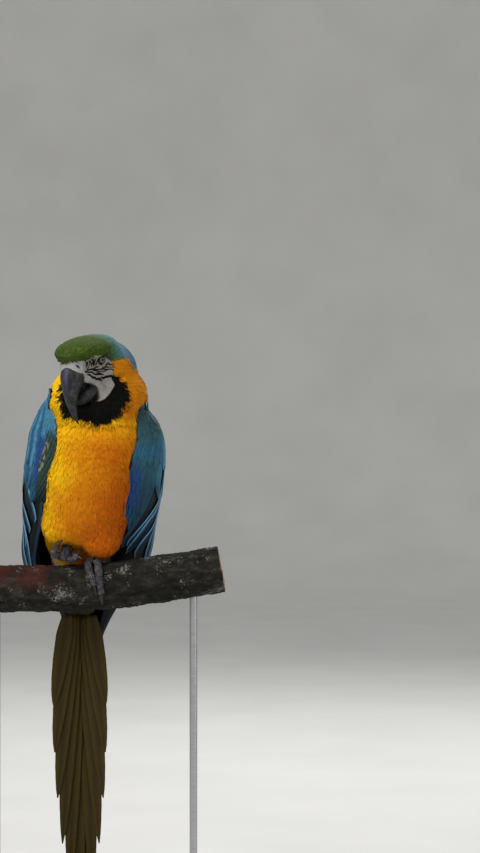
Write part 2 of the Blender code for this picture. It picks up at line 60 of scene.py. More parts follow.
def rgb(*values):
    """A colour given as 0 to 255 in sRGB, as linear numbers."""
    v = np.array(values, float) / 255
    return np.where(v <= 0.04045, v / 12.92, ((v + 0.055) / 1.055) ** 2.4)


def ease(a, b, x):
    """0 before a, 1 after b, and smooth between."""
    t = np.clip((np.asarray(x, float) - a) / (b - a), 0, 1)
    return t * t * (3 - 2 * t)


def blend(a, b, t):
    t = np.asarray(t, float)[..., None]
    return a * (1 - t) + b * t


def unit(v):
    return v / np.maximum(np.linalg.norm(v, axis=-1, keepdims=True), 1e-9)


def value_noise(points, size, seed=0):
    """Smooth noise from -1 to 1 in space, with features about the given size."""
    q = np.asarray(points, float) / size
    cell = np.floor(q).astype(np.int64)
    f = q - cell
    f = f * f * (3 - 2 * f)
    total = 0
    for corner in itertools.product((0, 1), repeat=3):
        c = cell + corner
        h = (c[..., 0] * 73856093) ^ (c[..., 1] * 19349663) ^ (c[..., 2] * 83492791) ^ (seed * 974711)
        h = (h * 1103515245 + 12345) & 0x7FFFFFFF
        h = ((h ^ (h >> 15)) * 1274126177) & 0x7FFFFFFF
        weight = np.prod(np.where(np.array(corner, bool), f, 1 - f), axis=-1)
        total = total + weight * (h / 0x7FFFFFFF)
    return total * 2 - 1


def signed_inside(polygon, a, b):
    """How far each point (a, b) lies inside the polygon, or a negative distance outside it."""
    poly = np.array(polygon, float)
    nearest = np.full(np.shape(a), 1e9)
    inside = np.zeros(np.shape(a), bool)
    for (x0, y0), (x1, y1) in zip(poly, np.roll(poly, -1, axis=0)):
        dx, dy = x1 - x0, y1 - y0
        t = np.clip(((a - x0) * dx + (b - y0) * dy) / (dx * dx + dy * dy), 0, 1)
        nearest = np.minimum(nearest, np.hypot(a - x0 - t * dx, b - y0 - t * dy))
        crosses = (y0 > b) != (y1 > b)
        with np.errstate(divide="ignore", invalid="ignore"):
            at = x0 + (b - y0) / (dy if dy else 1e-12) * dx
        inside ^= crosses & (a < at)
    return np.where(inside, nearest, -nearest)


def dense(table, step=1.0):
    """Keys and values of a smooth curve through the table's rows, sampled every step."""
    table = np.array(table, float)
    keys, values = table[:, 0], table[:, 1:]
    slopes = np.gradient(values, keys, axis=0)
    at = np.arange(keys[0], keys[-1] + step / 2, step)
    i = np.clip(np.searchsorted(keys, at) - 1, 0, len(keys) - 2)
    span = (keys[i + 1] - keys[i])[:, None]
    s = (at - keys[i])[:, None] / span
    curve = (
        (2 * s**3 - 3 * s**2 + 1) * values[i]
        + (s**3 - 2 * s**2 + s) * span * slopes[i]
        + (3 * s**2 - 2 * s**3) * values[i + 1]
        + (s**3 - s**2) * span * slopes[i + 1]
    )
    return at, curve


def read(curve, at):
    """Each value of a curve made by dense, at the given keys."""
    keys, values = curve
    return [np.interp(at, keys, column) for column in values.T]


# ---- the head's own frame ---------------------------------------------------------------------


def middle_of(node):
    low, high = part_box(node)
    return np.array((low + high) / 2) / MM


HEAD_PITCH = math.radians(14)
EYES = {1: middle_of("eye_left"), -1: middle_of("eye_right")}
HEAD = (EYES[1] + EYES[-1]) / 2
LEFT = unit(EYES[1] - EYES[-1])
LEVEL = np.array([LEFT[1], -LEFT[0], 0.0])
FORWARD = LEVEL * math.cos(HEAD_PITCH) - np.array([0, 0, 1.0]) * math.sin(HEAD_PITCH)
UP = np.cross(FORWARD, LEFT)
DOWN = np.array([0, 0, -1.0])


def in_head(points):
    """Forward, left and up of each point from between the eyes."""
    r = np.asarray(points, float) - HEAD
    return r @ FORWARD, r @ LEFT, r @ UP


def from_head(forward, left, up):
    return (
        HEAD
        + np.multiply.outer(forward, FORWARD)
        + np.multiply.outer(left, LEFT)
        + np.multiply.outer(up, UP)
    )


# ---- markings ---------------------------------------------------------------------------------

YELLOW = rgb(238, 184, 8)
GOLD = rgb(208, 130, 4)
ORANGE = rgb(186, 90, 3)
MOSS = rgb(58, 78, 20)
# The crown's green low down, painted darker as the shade under the brow.
MOSS_IN_SHADE = rgb(33, 38, 12)
TEAL = rgb(68, 100, 74)
SKY = rgb(72, 116, 128)
BLUE = rgb(34, 92, 132)
THROAT = rgb(12, 13, 10)
BARE = rgb(149, 143, 139)
FACE = [  # the bare skin's outline on either side of the head: forward, up
    (47, 9.6), (42.8, 8.4), (33, 6.8), (30, 8.6), (21.8, 10.4), (12, 10), (2.7, 7.4), (-7, 2.5),
    (-12.6, -4.5), (-12.8, -14), (-13.2, -26), (-11.5, -35.5), (-3, -43.5), (8.5, -49.5),
    (14, -51.5), (18, -49), (24, -30), (36, -26), (50, -8), (56, 2),
]
BIB = [  # the black bib's outline from the front: x, height
    (-40.5, 767), (-41, 757), (-40, 749), (-35, 741), (-24, 738), (-13, 739), (-3, 734), (9, 730.5),
    (21, 734), (30, 741), (38, 751), (42.5, 760), (46, 767.5), (44.5, 774), (38.5, 780.5), (32.5, 787),
    (29, 795), (25, 800), (20, 802), (-20, 801), (-27, 788), (-32, 780), (-37, 774),
]
CAP_LINE = np.array([  # lower edge of the green and blue, along the head: forward, up
    (-200, -400), (-92, -150), (-84, -100), (-77, -62), (-68, -46), (-55, -26), (-50, -20),
    (-46, -13), (-35, -6), (-22, -4.5), (-13, -5), (0, -8), (60, -8),
])
BACK_LINE = np.array([  # where the sides turn to the blue of the back: height, y
    (470, 12), (520, 22), (545, 36), (575, 46), (620, 46), (680, 40), (730, 34), (760, 30), (780, 26),
    (800, 22), (900, 22),
])


def zones(points):
    """The share of each marking at the points: bare skin, black bib, cap and back."""
    p = np.asarray(points, float)
    f, l, u = in_head(p)
    half_head = np.where(f > 0, 28.5, 31.5)
    bare = ease(-0.5, 0.5, signed_inside(FACE, f, u)) * (np.abs(l) < half_head)
    front = ease(-4, -12, p[..., 1])
    ragged = 1.6 * value_noise(p, 5, 31) + 1.2 * value_noise(p, 2.2, 32)
    bib = ease(-1.2, 1.2, signed_inside(BIB, p[..., 0], p[..., 2]) + ragged) * front * (1 - bare)
    cap = ease(-1.5, 1.5, u - np.interp(f, CAP_LINE[:, 0], CAP_LINE[:, 1])) * (p[..., 2] > 745)
    back = ease(-5, 5, p[..., 1] - np.interp(p[..., 2], BACK_LINE[:, 0], BACK_LINE[:, 1]))
    return bare, bib, cap * (1 - bib), back


def warmth_and_side_shade(p):
    """From 0, clear yellow, to 1, deep orange, over the neck and underparts. The deepening across towards +x
    is partly the plumage's own orange and partly painted shade of the side turned from the light.
    """
    x, z = p[..., 0], p[..., 2]
    lower = np.interp(
        z, [560, 614, 645, 676, 692, 707, 723, 742], [1.0, 1.0, 0.92, 0.74, 0.8, 0.74, 0.4, 0.18]
    )
    # Towards +x the colour deepens to orange: partly the plumage's own colour, partly painted shade of the
    # side turned from the light.
    across = [-64, -52, -40, -27, -13, 2, 30, 60]
    on_breast = [0.08, 0.1, 0.2, 0.42, 0.66, 0.88, 1.0, 0.85]
    on_belly = [0.08, 0.22, 0.42, 0.6, 0.74, 0.9, 1.0, 0.85]
    at = x + 4 * value_noise(p * [1, 1, 0.4], 14, 6)
    low = ease(668, 645, z)
    warm = lower * (np.interp(at, across, on_breast) * (1 - low) + np.interp(at, across, on_belly) * low)
    ear = ease(732, 750, z) * ease(8, 30, x)
    warm = np.maximum(warm, 0.56 * ear)
    warm += 0.12 * value_noise(p * [1, 1, 0.22], 9, 3) + 0.08 * value_noise(p, 34, 5)
    return np.clip(warm, 0, 1)


def marking(points):
    """The plumage colour at the points, the same on skin and coat, with painted shade in places."""
    p = np.asarray(points, float)
    f, l, u = in_head(p)
    bare, bib, cap, back = zones(p)
    warm, y, z = warmth_and_side_shade(p), p[..., 1], p[..., 2]
    colour = blend(YELLOW, GOLD, ease(0, 0.5, warm))
    colour = blend(colour, ORANGE, ease(0.4, 1.0, warm))
    colour = blend(colour, blend(BLUE, SKY, ease(700, 800, z)), back)
    colour = blend(colour, rgb(38, 40, 22), ease(512, 498, z) * ease(100, 86, y))
    # Low on the crown, over the face, the green is darker: painted shade under the brow.
    green = blend(MOSS_IN_SHADE, MOSS, ease(4, 19, u + 0.12 * l + 2.5 * value_noise(p, 4.5, 37)))
    green = blend(green, rgb(84, 108, 40), 0.4 * ease(0.35, 0.8, value_noise(p, 3.2, 38)))
    rear = f - 0.3 * (u - 10) + 2.5 * value_noise(p, 5, 35)
    top = blend(green, TEAL, ease(-3, -17, rear))
    top = blend(top, SKY, ease(-17, -30, rear))
    top = blend(top, BLUE, ease(-55, -95, f))
    colour = blend(colour, top, cap)
    colour = blend(colour, THROAT, bib)
    skin = blend(BARE, rgb(136, 137, 122), ease(-14, -6, u))
    across, along = (f - u) * 0.7, (f + u) * 0.09
    creases = value_noise(np.stack([across, along, 0.3 * l], -1), 1.5, 71)
    skin = blend(skin, rgb(122, 96, 94), 0.5 * ease(0.15, 0.7, creases) * ease(-8, -14, u))
    skin = blend(skin, rgb(150, 149, 147), ease(24, 36, f))
    return blend(colour, skin, bare)


# ---- materials --------------------------------------------------------------------------------


class Nodes:
    """A short way to build a material. Where a value is asked for, another node's output also does."""

    def __init__(self, name):
        self.material = bpy.data.materials.new(name)
        self.material.use_nodes = True
        self.tree = self.material.node_tree
        self.shader = self.tree.nodes["Principled BSDF"]

    def feed(self, socket, value):
        """Gives a socket another socket's output, a number or a colour."""
        if isinstance(value, bpy.types.NodeSocket):
            self.tree.links.new(value, socket)
        elif isinstance(value, (int, float)):
            socket.default_value = value
        else:
            socket.default_value = (*value, 1)

    def add(self, kind, links=(), **settings):
        """A node with links to its inputs. A setting that starts with in_ is the value of an input."""
        node = self.tree.nodes.new(kind)
        for key, value in settings.items():
            if key.startswith("in_"):
                node.inputs[key[3:].replace("_", " ")].default_value = value
            else:
                setattr(node, key, value)
        for socket, source in dict(links).items():
            self.tree.links.new(source, node.inputs[socket])
        return node

    def set(self, **values):
        """Gives values to the shader's inputs."""
        for key, value in values.items():
            self.feed(self.shader.inputs[key.replace("_", " ")], value)

    def tint(self):
        """The colours that the mesh carries."""
        return self.add("ShaderNodeAttribute", attribute_name="tint").outputs["Color"]

    def place(self, *scale, shift=(0, 0, 0)):
        """Object coordinates, scaled along each axis and shifted."""
        where = self.add("ShaderNodeTexCoord").outputs["Object"]
        if not scale:
            return where
        mapping = self.add("ShaderNodeMapping", {"Vector": where}, in_Scale=scale, in_Location=shift)
        return mapping.outputs["Vector"]

    def parts(self, vector):
        return self.add("ShaderNodeSeparateXYZ", {"Vector": vector}).outputs

    def noise(self, vector, scale, detail=3.0, rough=0.55):
        return self.add(
            "ShaderNodeTexNoise", {"Vector": vector}, in_Scale=scale, in_Detail=detail, in_Roughness=rough
        ).outputs["Fac"]

    def cells(self, vector, scale, feature="F1"):
        return self.add(
            "ShaderNodeTexVoronoi", {"Vector": vector}, feature=feature, in_Scale=scale
        ).outputs["Distance"]

    def ramp(self, source, *stops):
        node = self.add("ShaderNodeValToRGB", {"Fac": source})
        while len(node.color_ramp.elements) < len(stops):
            node.color_ramp.elements.new(1.0)
        for element, (at, colour) in zip(node.color_ramp.elements, stops):
            element.position = at
            element.color = (*(colour * np.ones(3)), 1)
        return node.outputs["Color"]

    def mix(self, a, b, factor, mode="MIX"):
        node = self.add("ShaderNodeMix", data_type="RGBA", blend_type=mode)
        for socket, value in ((6, a), (7, b), (0, factor)):
            self.feed(node.inputs[socket], value)
        return node.outputs[2]

    def times(self, a, b, factor=1.0):
        return self.mix(a, b, factor, "MULTIPLY")

    def cover(self, under, colour, mask, most):
        """Lays a colour over another where the mask is white, up to the most it may cover."""
        return self.mix(under, colour, self.mix((0, 0, 0), mask, most))

    def math(self, operation, *values):
        node = self.add("ShaderNodeMath", operation=operation)
        for socket, value in zip(node.inputs, values):
            self.feed(socket, value)
        return node.outputs[0]

    def bump(self, height, strength, distance_mm):
        node = self.add(
            "ShaderNodeBump", {"Height": height}, in_Strength=strength, in_Distance=distance_mm * MM
        )
        self.set(Normal=node.outputs["Normal"])


def feather_material(name, roughness, barbs, mottle=0.12):
    """Plumage: the markings, broken up by fine barbs and a little unevenness."""
    n = Nodes(name)
    across, along, _ = n.parts(n.add("ShaderNodeUVMap", uv_map="Vane").outputs["UV"])
    slant = n.math("ADD", along, n.math("ABSOLUTE", across))
    line = n.add("ShaderNodeCombineXYZ", {"X": slant}).outputs["Vector"]
    wave = n.add(
        "ShaderNodeTexWave", {"Vector": line},
        in_Scale=0.32, in_Distortion=1.4, in_Detail=1.5, in_Detail_Scale=2.0,
    ).outputs["Fac"]
    colour = n.times(n.tint(), n.ramp(n.noise(n.place(), 240), (0.25, 1 - mottle), (0.75, 1 + mottle)))
    colour = n.times(colour, n.ramp(wave, (0.0, 1 - barbs), (1.0, 1.0)))
    n.set(Base_Color=colour, Roughness=roughness, Specular_IOR_Level=0.15)
    n.bump(wave, 0.25, 0.15)
    return n.material


def skin_material():
    """Bare face skin and the down under the coat, both coloured by the markings, with the face's painted
    shade.
    """
    n = Nodes("skin")
    place = n.place()
    pores = n.cells(place, 900)
    colour = n.times(n.tint(), n.ramp(n.noise(place, 160, 4), (0.3, 0.8), (0.7, 1.08)))
    colour = n.times(colour, n.ramp(pores, (0.0, 0.82), (0.5, 1.0)), 0.7)
    n.set(Base_Color=colour, Roughness=0.62, Specular_IOR_Level=0.3)
    n.bump(pores, 0.35, 0.3)
    return n.material


def streaked(name, place, scale, detail, dark, light, bump, rough=0.55, **settings):
    """A plain material whose streaks of noise, from dark to light, also stand out in relief.

    place is the stretch of the noise along x, y and z. Settings whose value is a pair of ramp stops
    follow the streaks too.
    """
    n = Nodes(name)
    streaks = n.noise(n.place(*place), scale, detail, rough)
    n.set(Base_Color=n.ramp(streaks, dark, light))
    for key, value in settings.items():
        n.set(**{key: n.ramp(streaks, *value) if isinstance(value, tuple) else value})
    n.bump(streaks, *bump)
    return n.material


# ---- meshes -----------------------------------------------------------------------------------


def mesh_object(name, vertices, loops, starts, material, slot):
    """An object from flat arrays: points in millimetres, corner indices, and where each face starts."""
    mesh = bpy.data.meshes.new(name)
    mesh.vertices.add(len(vertices))
    mesh.vertices.foreach_set("co", (np.asarray(vertices) * MM).astype(np.float32).ravel())
    mesh.loops.add(len(loops))
    mesh.loops.foreach_set("vertex_index", np.asarray(loops, np.int32))
    mesh.polygons.add(len(starts))
    mesh.polygons.foreach_set("loop_start", np.asarray(starts, np.int32))
    mesh.update(calc_edges=True)
    mesh.validate()
    mesh.shade_smooth()
    return finished(name, mesh, material)


def added(name, data):
    """A new object in the scene."""
    obj = bpy.data.objects.new(name, data)
    bpy.context.scene.collection.objects.link(obj)
    return obj


def finished(name, mesh, material):
    """A piece of the macaw or its perch, riding on the one body."""
    obj = added(name, mesh)
    mesh.materials.append(material)
    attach(obj, "root")
    return obj


def mesh_from(bm, name):
    mesh = bpy.data.meshes.new(name)
    bm.to_mesh(mesh)
    bm.free()
    return mesh


def read_array(items, name, width, kind=np.float32):
    """One field of all vertices, corners or faces of a mesh as an array."""
    flat = np.zeros(len(items) * width, kind)
    items.foreach_get(name, flat)
    return flat.reshape(-1, width) if width > 1 else flat


def set_tint(mesh, colours):
    layer = mesh.attributes.new("tint", "FLOAT_COLOR", "POINT")
    rgba = np.ones((len(mesh.vertices), 4), np.float32)
    rgba[:, :3] = colours
    layer.data.foreach_set("color", rgba.ravel())


def set_uv(mesh, name, per_vertex):
    layer = mesh.uv_layers.new(name=name)
    index = read_array(mesh.loops, "vertex_index", 1, np.int32)
    layer.data.foreach_set("uv", np.asarray(per_vertex, np.float32)[index].ravel())


def tubes(count, rows, ring):
    """Corner indices and face starts of closed tubes, each of some rows of points with a cap at both ends."""
    base = (np.arange(count) * rows * ring)[:, None, None]
    low = base + (np.arange(rows - 1) * ring)[None, :, None]
    k = np.arange(ring)[None, None, :]
    k2 = (k + 1) % ring
    quads = np.stack([low + k, low + k2, low + ring + k2, low + ring + k], axis=-1).reshape(-1)
    roots = base[:, 0] + np.arange(ring)[::-1]
    tips = base[:, 0] + (rows - 1) * ring + np.arange(ring)
    loops = np.concatenate([quads, roots.ravel(), tips.ravel()])
    starts = np.concatenate([np.arange(0, len(quads), 4), len(quads) + np.arange(2 * count) * ring])
    return loops, starts


PATCH = 0.003  # the side of a small feather's square on the unwrap


def vanes(name, top, under, tint, material, slot, place, size, tint_under=None, patch=PATCH, out=None,
          even=0.7):
    """Many closed thin vanes as one mesh.

    top is (vane, row, column, 3) from root to tip and from left to right, under the same with fewer
    columns between the edges. tint matches top. place is each vane's patch on the coat's unwrap, and
    size its half width and length in millimetres, for the barbs. out, if given, is the body's outward
    direction along each vane, and even is how far that takes over the shading.
    """
    n, rows, columns = top.shape[:3]
    below = under.shape[2]
    ring = columns + below
    grid = np.concatenate([top, under[:, :, ::-1]], axis=2)
    if tint_under is None:
        tint_under = np.broadcast_to(tint[:, :, :1] * 0.8, under.shape)
    shades = np.concatenate([tint, tint_under[:, :, ::-1]], axis=2)
    obj = mesh_object(name, grid.reshape(-1, 3), *tubes(n, rows, ring), material, slot)
    if len(obj.data.vertices) != n * rows * ring:
        raise ValueError(name + " lost points")
    set_tint(obj.data, shades.reshape(-1, 3))
    s = np.concatenate([np.linspace(-1, 1, columns), np.linspace(-1, 1, below + 2)[1:-1][::-1]])
    s = np.broadcast_to(s, (n, rows, ring))
    t = np.broadcast_to(np.linspace(0, 1, rows)[:, None], (n, rows, ring))
    u, v = (place[:, i, None, None] for i in range(2))
    set_uv(obj.data, "OFBake", np.stack([u + s / 2 * patch, v + (t - 0.5) * patch], axis=-1).reshape(-1, 2))
    half, length = (np.asarray(size, float)[:, i, None, None] for i in range(2))
    set_uv(obj.data, "Vane", np.stack([s * half, t * length], axis=-1).reshape(-1, 2))
    if out is not None:
        own = normals_of(obj.data).reshape(n, rows, ring, 3)
        facing = np.concatenate([np.ones(columns), -np.ones(below)])[:, None]
        soft = unit(own * (1 - even) + even * facing * out[:, :, None])
        obj.data.normals_split_custom_set_from_vertices(soft.reshape(-1, 3))
    return obj


def triangles(obj):
    return sum(len(p.vertices) - 2 for p in obj.data.polygons)


def welded(nodes, grow=0.0):
    """A bmesh of CAD nodes joined, with points shared and moved outwards, in metres."""
    bm = bmesh.new()
    for node in nodes:
        bm.from_mesh(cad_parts[node].data)
    bmesh.ops.remove_doubles(bm, verts=bm.verts, dist=1e-5)
    bmesh.ops.recalc_face_normals(bm, faces=bm.faces)
    bm.normal_update()
    for vert in bm.verts:
        vert.co += vert.normal * grow * MM
    return bm


def remeshed(name, bm, voxel, smoothing, factor=0.5):
    """The bmesh as one skin of even faces, about as wide as the voxel in millimetres."""
    obj = added(name, mesh_from(bm, name))
    remesh = obj.modifiers.new("remesh", "REMESH")
    remesh.mode = "VOXEL"
    remesh.voxel_size = voxel * MM
    smooth = obj.modifiers.new("smooth", "SMOOTH")
    smooth.iterations = smoothing
    smooth.factor = factor
    bpy.context.view_layer.update()
    graph = bpy.context.evaluated_depsgraph_get()
    made = bpy.data.meshes.new_from_object(obj.evaluated_get(graph))
    made.materials.clear()
    bpy.data.objects.remove(obj)
    return made


def points_of(mesh):
    return read_array(mesh.vertices, "co", 3).astype(float) / MM


def normals_of(mesh):
    return read_array(mesh.vertices, "normal", 3).astype(float)


def set_points(mesh, points):
    mesh.vertices.foreach_set("co", (points * MM).astype(np.float32).ravel())
    mesh.update()


def lofted(bm, rings):
    """Rings of points in metres, joined by faces."""
    verts = [[bm.verts.new(p) for p in ring] for ring in rings]
    for low, high in zip(verts, verts[1:]):
        for i, j in zip(range(len(low)), np.roll(range(len(low)), -1)):
            bm.faces.new((low[i], low[j], high[j], high[i]))
    return verts


# ---- skin -------------------------------------------------------------------------------------

FLESH = ["head", "neck", "breast", "belly", "back", "thigh_left", "thigh_right"]
HORN = [  # where horn or the mouth takes the place of skin, from the side: forward, up
    (48.6, 3), (48.8, -1.2), (46, -4.3), (43.5, -7.6), (40.9, -11.5), (35.2, -17.4), (31.4, -20.2),
    (27.3, -23.2), (23, -24), (18.2, -26.4), (12.8, -31), (9.4, -37.2), (8.4, -44.7), (10, -49),
    (13, -52.3), (16, -54), (22, -55.5), (30, -58), (37, -52), (42, -47), (75, -47), (75, 3),
]
# Where the skin lies deeper than elsewhere: centre, radius and depth.
SLIMMER = [((57, 0, 792), 26, 3.8), ((42, 15, 828), 20, 2.6)]


def coat_depth(points):
    """How far the coat stands out over the skin."""
    bare, bib, cap, back = zones(points)
    depth = 3.3
    for share, here in ((back, 2.8), (cap, 1.4), (bib, 3.8), (bare, 0.3)):
        depth = depth * (1 - share) + here * share
    return depth


NOSTRIL = (41.3, 13.4, 0.6)  # forward, left and up of the middle between the eyes


def face_details(points, normals):
    """Moves the skin of the face: swollen cere, nostrils, eye sockets, and the edge where horn starts.

    Also gives how dark the skin is painted there, as painted shade in the nostrils and round the eyeballs,
    and where it is inside the mouth, which is painted near black as shade in the gape.
    """
    f, l, u = in_head(points)
    offset = 0.14 * value_noise(points * [1, 1, 2.2], 2.2, 21) * zones(points)[0]
    dark = np.zeros(len(points))
    for s in SIDES:
        to = points - from_head(NOSTRIL[0], NOSTRIL[1] * s, NOSTRIL[2])
        slit = unit(-2 * FORWARD + 3.9 * s * LEFT - 5 * UP)
        along = to @ slit
        deep = np.hypot(along * 0.5, np.linalg.norm(to - np.outer(along, slit), axis=1) * 1.15)
        offset += 0.8 * np.exp(-((deep / 3.8) ** 2)) - 2.8 * np.exp(-((deep / 1.8) ** 2))
        # The nostrils are painted near black: painted shade inside them.
        dark += 1.1 * np.exp(-((deep / 1.9) ** 4))
    points = points + normals * offset[:, None]
    for s in SIDES:
        # The skin rises to the rim of the lids and sinks behind the eyeball inside them.
        gaze = gaze_of(s)
        to = points - EYES[s]
        height = to @ gaze
        r = np.linalg.norm(to - np.outer(height, gaze), axis=1)
        wanted = np.interp(r, [0, 2.9, 3.4, 4.2, 5.2, 7.5], [3.0, 4.2, 5.7, 6.3, 5.7, 4.7])
        near = ease(9.0, 6.0, r) * (height > -3)
        points = points + gaze * ((wanted - height) * near)[:, None]
        # Inside the lids, round the eyeball, the skin is painted dark: painted shade in the socket.
        dark += 0.8 * ease(3.5, 3.1, r) * (height > 0)
    # Under the horn the skin moves in towards the head's middle.
    inside, off_middle = signed_inside(HORN, f, u), np.abs(l)
    sunk = np.minimum(off_middle, np.maximum(8.5, off_middle - 7 * inside))
    moved = np.where((inside > 0) & (off_middle < 30), sunk - off_middle, 0)
    points = points + LEFT * (moved * np.sign(l))[:, None]
    # Inside the mouth the skin is painted near black: painted shade in the gape between the bill halves.
    mouth = ease(0.3, 0.9, inside) * (off_middle < 30)
    return points, np.clip(dark, 0, 1), mouth


def gaze_of(side):
    """The way an eye looks: side is 1 for the left one and -1 for the right one."""
    return unit(LEFT * side * 0.93 + FORWARD * 0.34 + UP * 0.03)


def cere_saddle():
    """The soft skin that laps over the root of the upper bill, as a closed volume."""
    rings, around = 14, 56
    sideways, upwards = bill_section(around, UPPER_NARROWS)
    t = np.linspace(0, 0.6, 121)
    middle, half = bill_profile(CULMEN, UPPER_EDGE, t)
    ends = np.zeros(around)
    for i in range(around):
        # The skin ends 1 mm inside the outline of the horn.
        line = middle + half * upwards[i]
        hit = np.nonzero(signed_inside(HORN, line[:, 0], line[:, 1]) > 1.0)[0]
        ends[i] = t[hit[0]] if len(hit) else 0.0
    q = np.linspace(0, 1, rings)[:, None]
    t = BILL_ROOT + q * (ends[None] - BILL_ROOT)
    middle, half = bill_profile(CULMEN, UPPER_EDGE, t)
    thick = 0.55 + 0.8 * (1 - q**2)
    reach = np.linalg.norm(half, axis=-1)
    half = half * ((reach + thick) / reach)[..., None]
    width = read(dense(UPPER_WIDTH, 0.01), t)[0] + thick
    grid = middle + half * upwards[None, :, None]
    place = from_head(grid[..., 0], width * sideways[None], grid[..., 1])
    core = place[-1].mean(axis=0) - FORWARD * 2
    bm = bmesh.new()
    verts = lofted(bm, place * MM)
    tip = bm.verts.new(core * MM)
    for i in range(around):
        bm.faces.new((verts[-1][i], verts[-1][(i + 1) % around], tip))
    bm.faces.new(verts[0][::-1])
    bmesh.ops.recalc_face_normals(bm, faces=bm.faces)
    return mesh_from(bm, "saddle")


def make_skin():
    grow = 0.5
    bm = welded(FLESH, grow)
    bm.from_mesh(cere_saddle())
    mesh = remeshed("skin_base", bm, 1.5, 7, 0.6)
    points, normals = points_of(mesh), normals_of(mesh)
    depth = coat_depth(points) + grow
    for centre, radius, amount in SLIMMER:
        depth += amount * np.exp(-(np.linalg.norm(points - centre, axis=1) / radius) ** 2)
    set_points(mesh, points - normals * depth[:, None])
    bm = bmesh.new()
    bm.from_mesh(mesh)
    for _ in range(2):
        co = np.array([v.co for v in bm.verts]) / MM
        f, l, u = in_head(co)
        near = (signed_inside(FACE, f, u) > -2) | (signed_inside(HORN, f, u) > -2)
        near &= (np.abs(l) < 34) & (f > -18) & (np.abs(l) > 3)
        edges = [e for e in bm.edges if near[e.verts[0].index] and near[e.verts[1].index]]
        bmesh.ops.subdivide_edges(bm, edges=edges, cuts=1, use_grid_fill=True, smooth=0.3)
        bm.verts.index_update()
    bmesh.ops.triangulate(bm, faces=[face for face in bm.faces if len(face.verts) > 4])
    bm.to_mesh(mesh)
    bm.free()
    mesh.update()
    points, normals = points_of(mesh), normals_of(mesh)
    bare = zones(points)[0]
    colours = marking(points)
    moved, dark, mouth = face_details(points, normals)
    set_points(mesh, moved)
    colours = np.where(bare[:, None] > 0.5, colours, colours * 0.95)
    # Painted shade: near black in the nostrils, round the eyeballs and in the gape of the bill.
    colours = blend(colours, rgb(14, 13, 13), dark)
    colours = blend(colours, rgb(15, 15, 16), mouth)
    set_tint(mesh, colours)
    mesh.shade_smooth()
    obj = finished("skin", mesh, skin_material())
    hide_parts(*FLESH)
    return obj


# ---- the coat ---------------------------------------------------------------------------------


class Surface:
    """Nearest-point questions about the finished skin, in millimetres."""

    def __init__(self, mesh):
        self.points = points_of(mesh)
        mesh.calc_loop_triangles()
        self.tris = read_array(mesh.loop_triangles, "vertices", 3, np.int32)
        self.normals = normals_of(mesh)
        self.tree = BVHTree.FromPolygons(self.points.tolist(), self.tris.tolist())

    def scatter(self, spacing, piece, seed):
        """Evenly spread points and their normals, where the named piece of the coat grows."""
        rng = np.random.default_rng(seed)
        a, b, c = (self.points[self.tris[:, i]] for i in range(3))
        area = np.linalg.norm(np.cross(b - a, c - a), axis=1) / 2
        count = int(area.sum() / spacing**2 * 5)
        pick = rng.choice(len(area), count, p=area / area.sum())
        r1, r2 = np.sqrt(rng.random(count)), rng.random(count)
        w = np.stack([1 - r1, r1 * (1 - r2), r1 * r2], axis=1)
        p = a[pick] * w[:, :1] + b[pick] * w[:, 1:2] + c[pick] * w[:, 2:]
        n = sum(self.normals[self.tris[pick, i]] * w[:, i : i + 1] for i in range(3))
        wanted = growing(p)[piece]
        p, n = p[wanted], unit(n[wanted])
        tree = KDTree(len(p))
        for i, q in enumerate(p):
            tree.insert(q, i)
        tree.balance()
        free = np.ones(len(p), bool)
        chosen = []
        for i in range(len(p)):
            if free[i]:
                chosen.append(i)
                free[[j for _, j, _ in tree.find_range(p[i], spacing * 0.86)]] = False
        return p[chosen], n[chosen]

    def beside(self, forward, up, side):
        """The outermost point of one side of the head at this place along it."""
        start = Vector(from_head(forward, 45.0 * side, up))
        return self.tree.ray_cast(start, Vector(LEFT * -side))[0]

    def comb(self, roots, normals, heading, lengths, rows):
        """Paths that start at the roots and follow the skin along their heading."""
        path, out, along = np.zeros((3, len(roots), rows, 3))
        for i in range(len(roots)):
            p, normal = Vector(roots[i]), Vector(normals[i])
            d = Vector(heading[i])
            d = (d - normal * d.dot(normal)).normalized()
            step = lengths[i] / (rows - 1)
            for r in range(rows):
                path[i, r], out[i, r], along[i, r] = p, normal, d
                hit, face_normal, _, _ = self.tree.find_nearest(p + d * step)
                p = hit
                normal = (normal + face_normal).normalized()
                d = (d - normal * d.dot(normal)).normalized()
        return path, out, along


def unwrap(points):
    """Where points of the body lie on an unrolled cylinder that is closed by a dome over the crown."""
    p = np.asarray(points, float)
    x, y, over = p[..., 0], p[..., 1], p[..., 2] - 800
    turn = np.arctan2(x + 4, 12 - y) / (2 * math.pi) + 0.5
    dome = np.arctan2(np.hypot(x - HEAD[0], y - HEAD[1]), np.maximum(over, 0)) * 40
    drop = dome + np.maximum(-over, 0)
    return np.stack([0.02 + 0.96 * turn, 0.98 - 0.94 * drop / 400], axis=-1)


def heading_at(points, rng, spread=0.12):
    """The lie of the coat: back from the bill over the head, down over the neck and trunk."""
    f, l, u = in_head(points)
    z = points[:, 2]
    on_head = ease(752, 800, z) * ease(-75, -35, f)
    d = np.outer(on_head, -FORWARD) + np.outer(1.15 - on_head, DOWN)
    side = np.sign(l) * ease(6, 26, np.abs(l))
    d += np.outer(on_head * 0.35 * side * ease(20, -10, u), DOWN)
    d[:, 0] += 0.0035 * points[:, 0] * (1 - on_head)
    d += rng.normal(0, spread, d.shape)
    return unit(d)


def rooted(surface, piece, seed, shift, spacing, length, vary, spread, rows):
    """A generator of random numbers, and feathers' roots, headings, lengths and paths over the skin."""
    rng = np.random.default_rng(seed + shift)
    roots, normals = surface.scatter(spacing, piece, seed)
    lengths = length * rng.uniform(1 - vary, 1 + vary, len(roots))
    heading = heading_at(roots, rng, spread)
    return rng, roots, heading, lengths, *surface.comb(roots, normals, heading, lengths, rows)


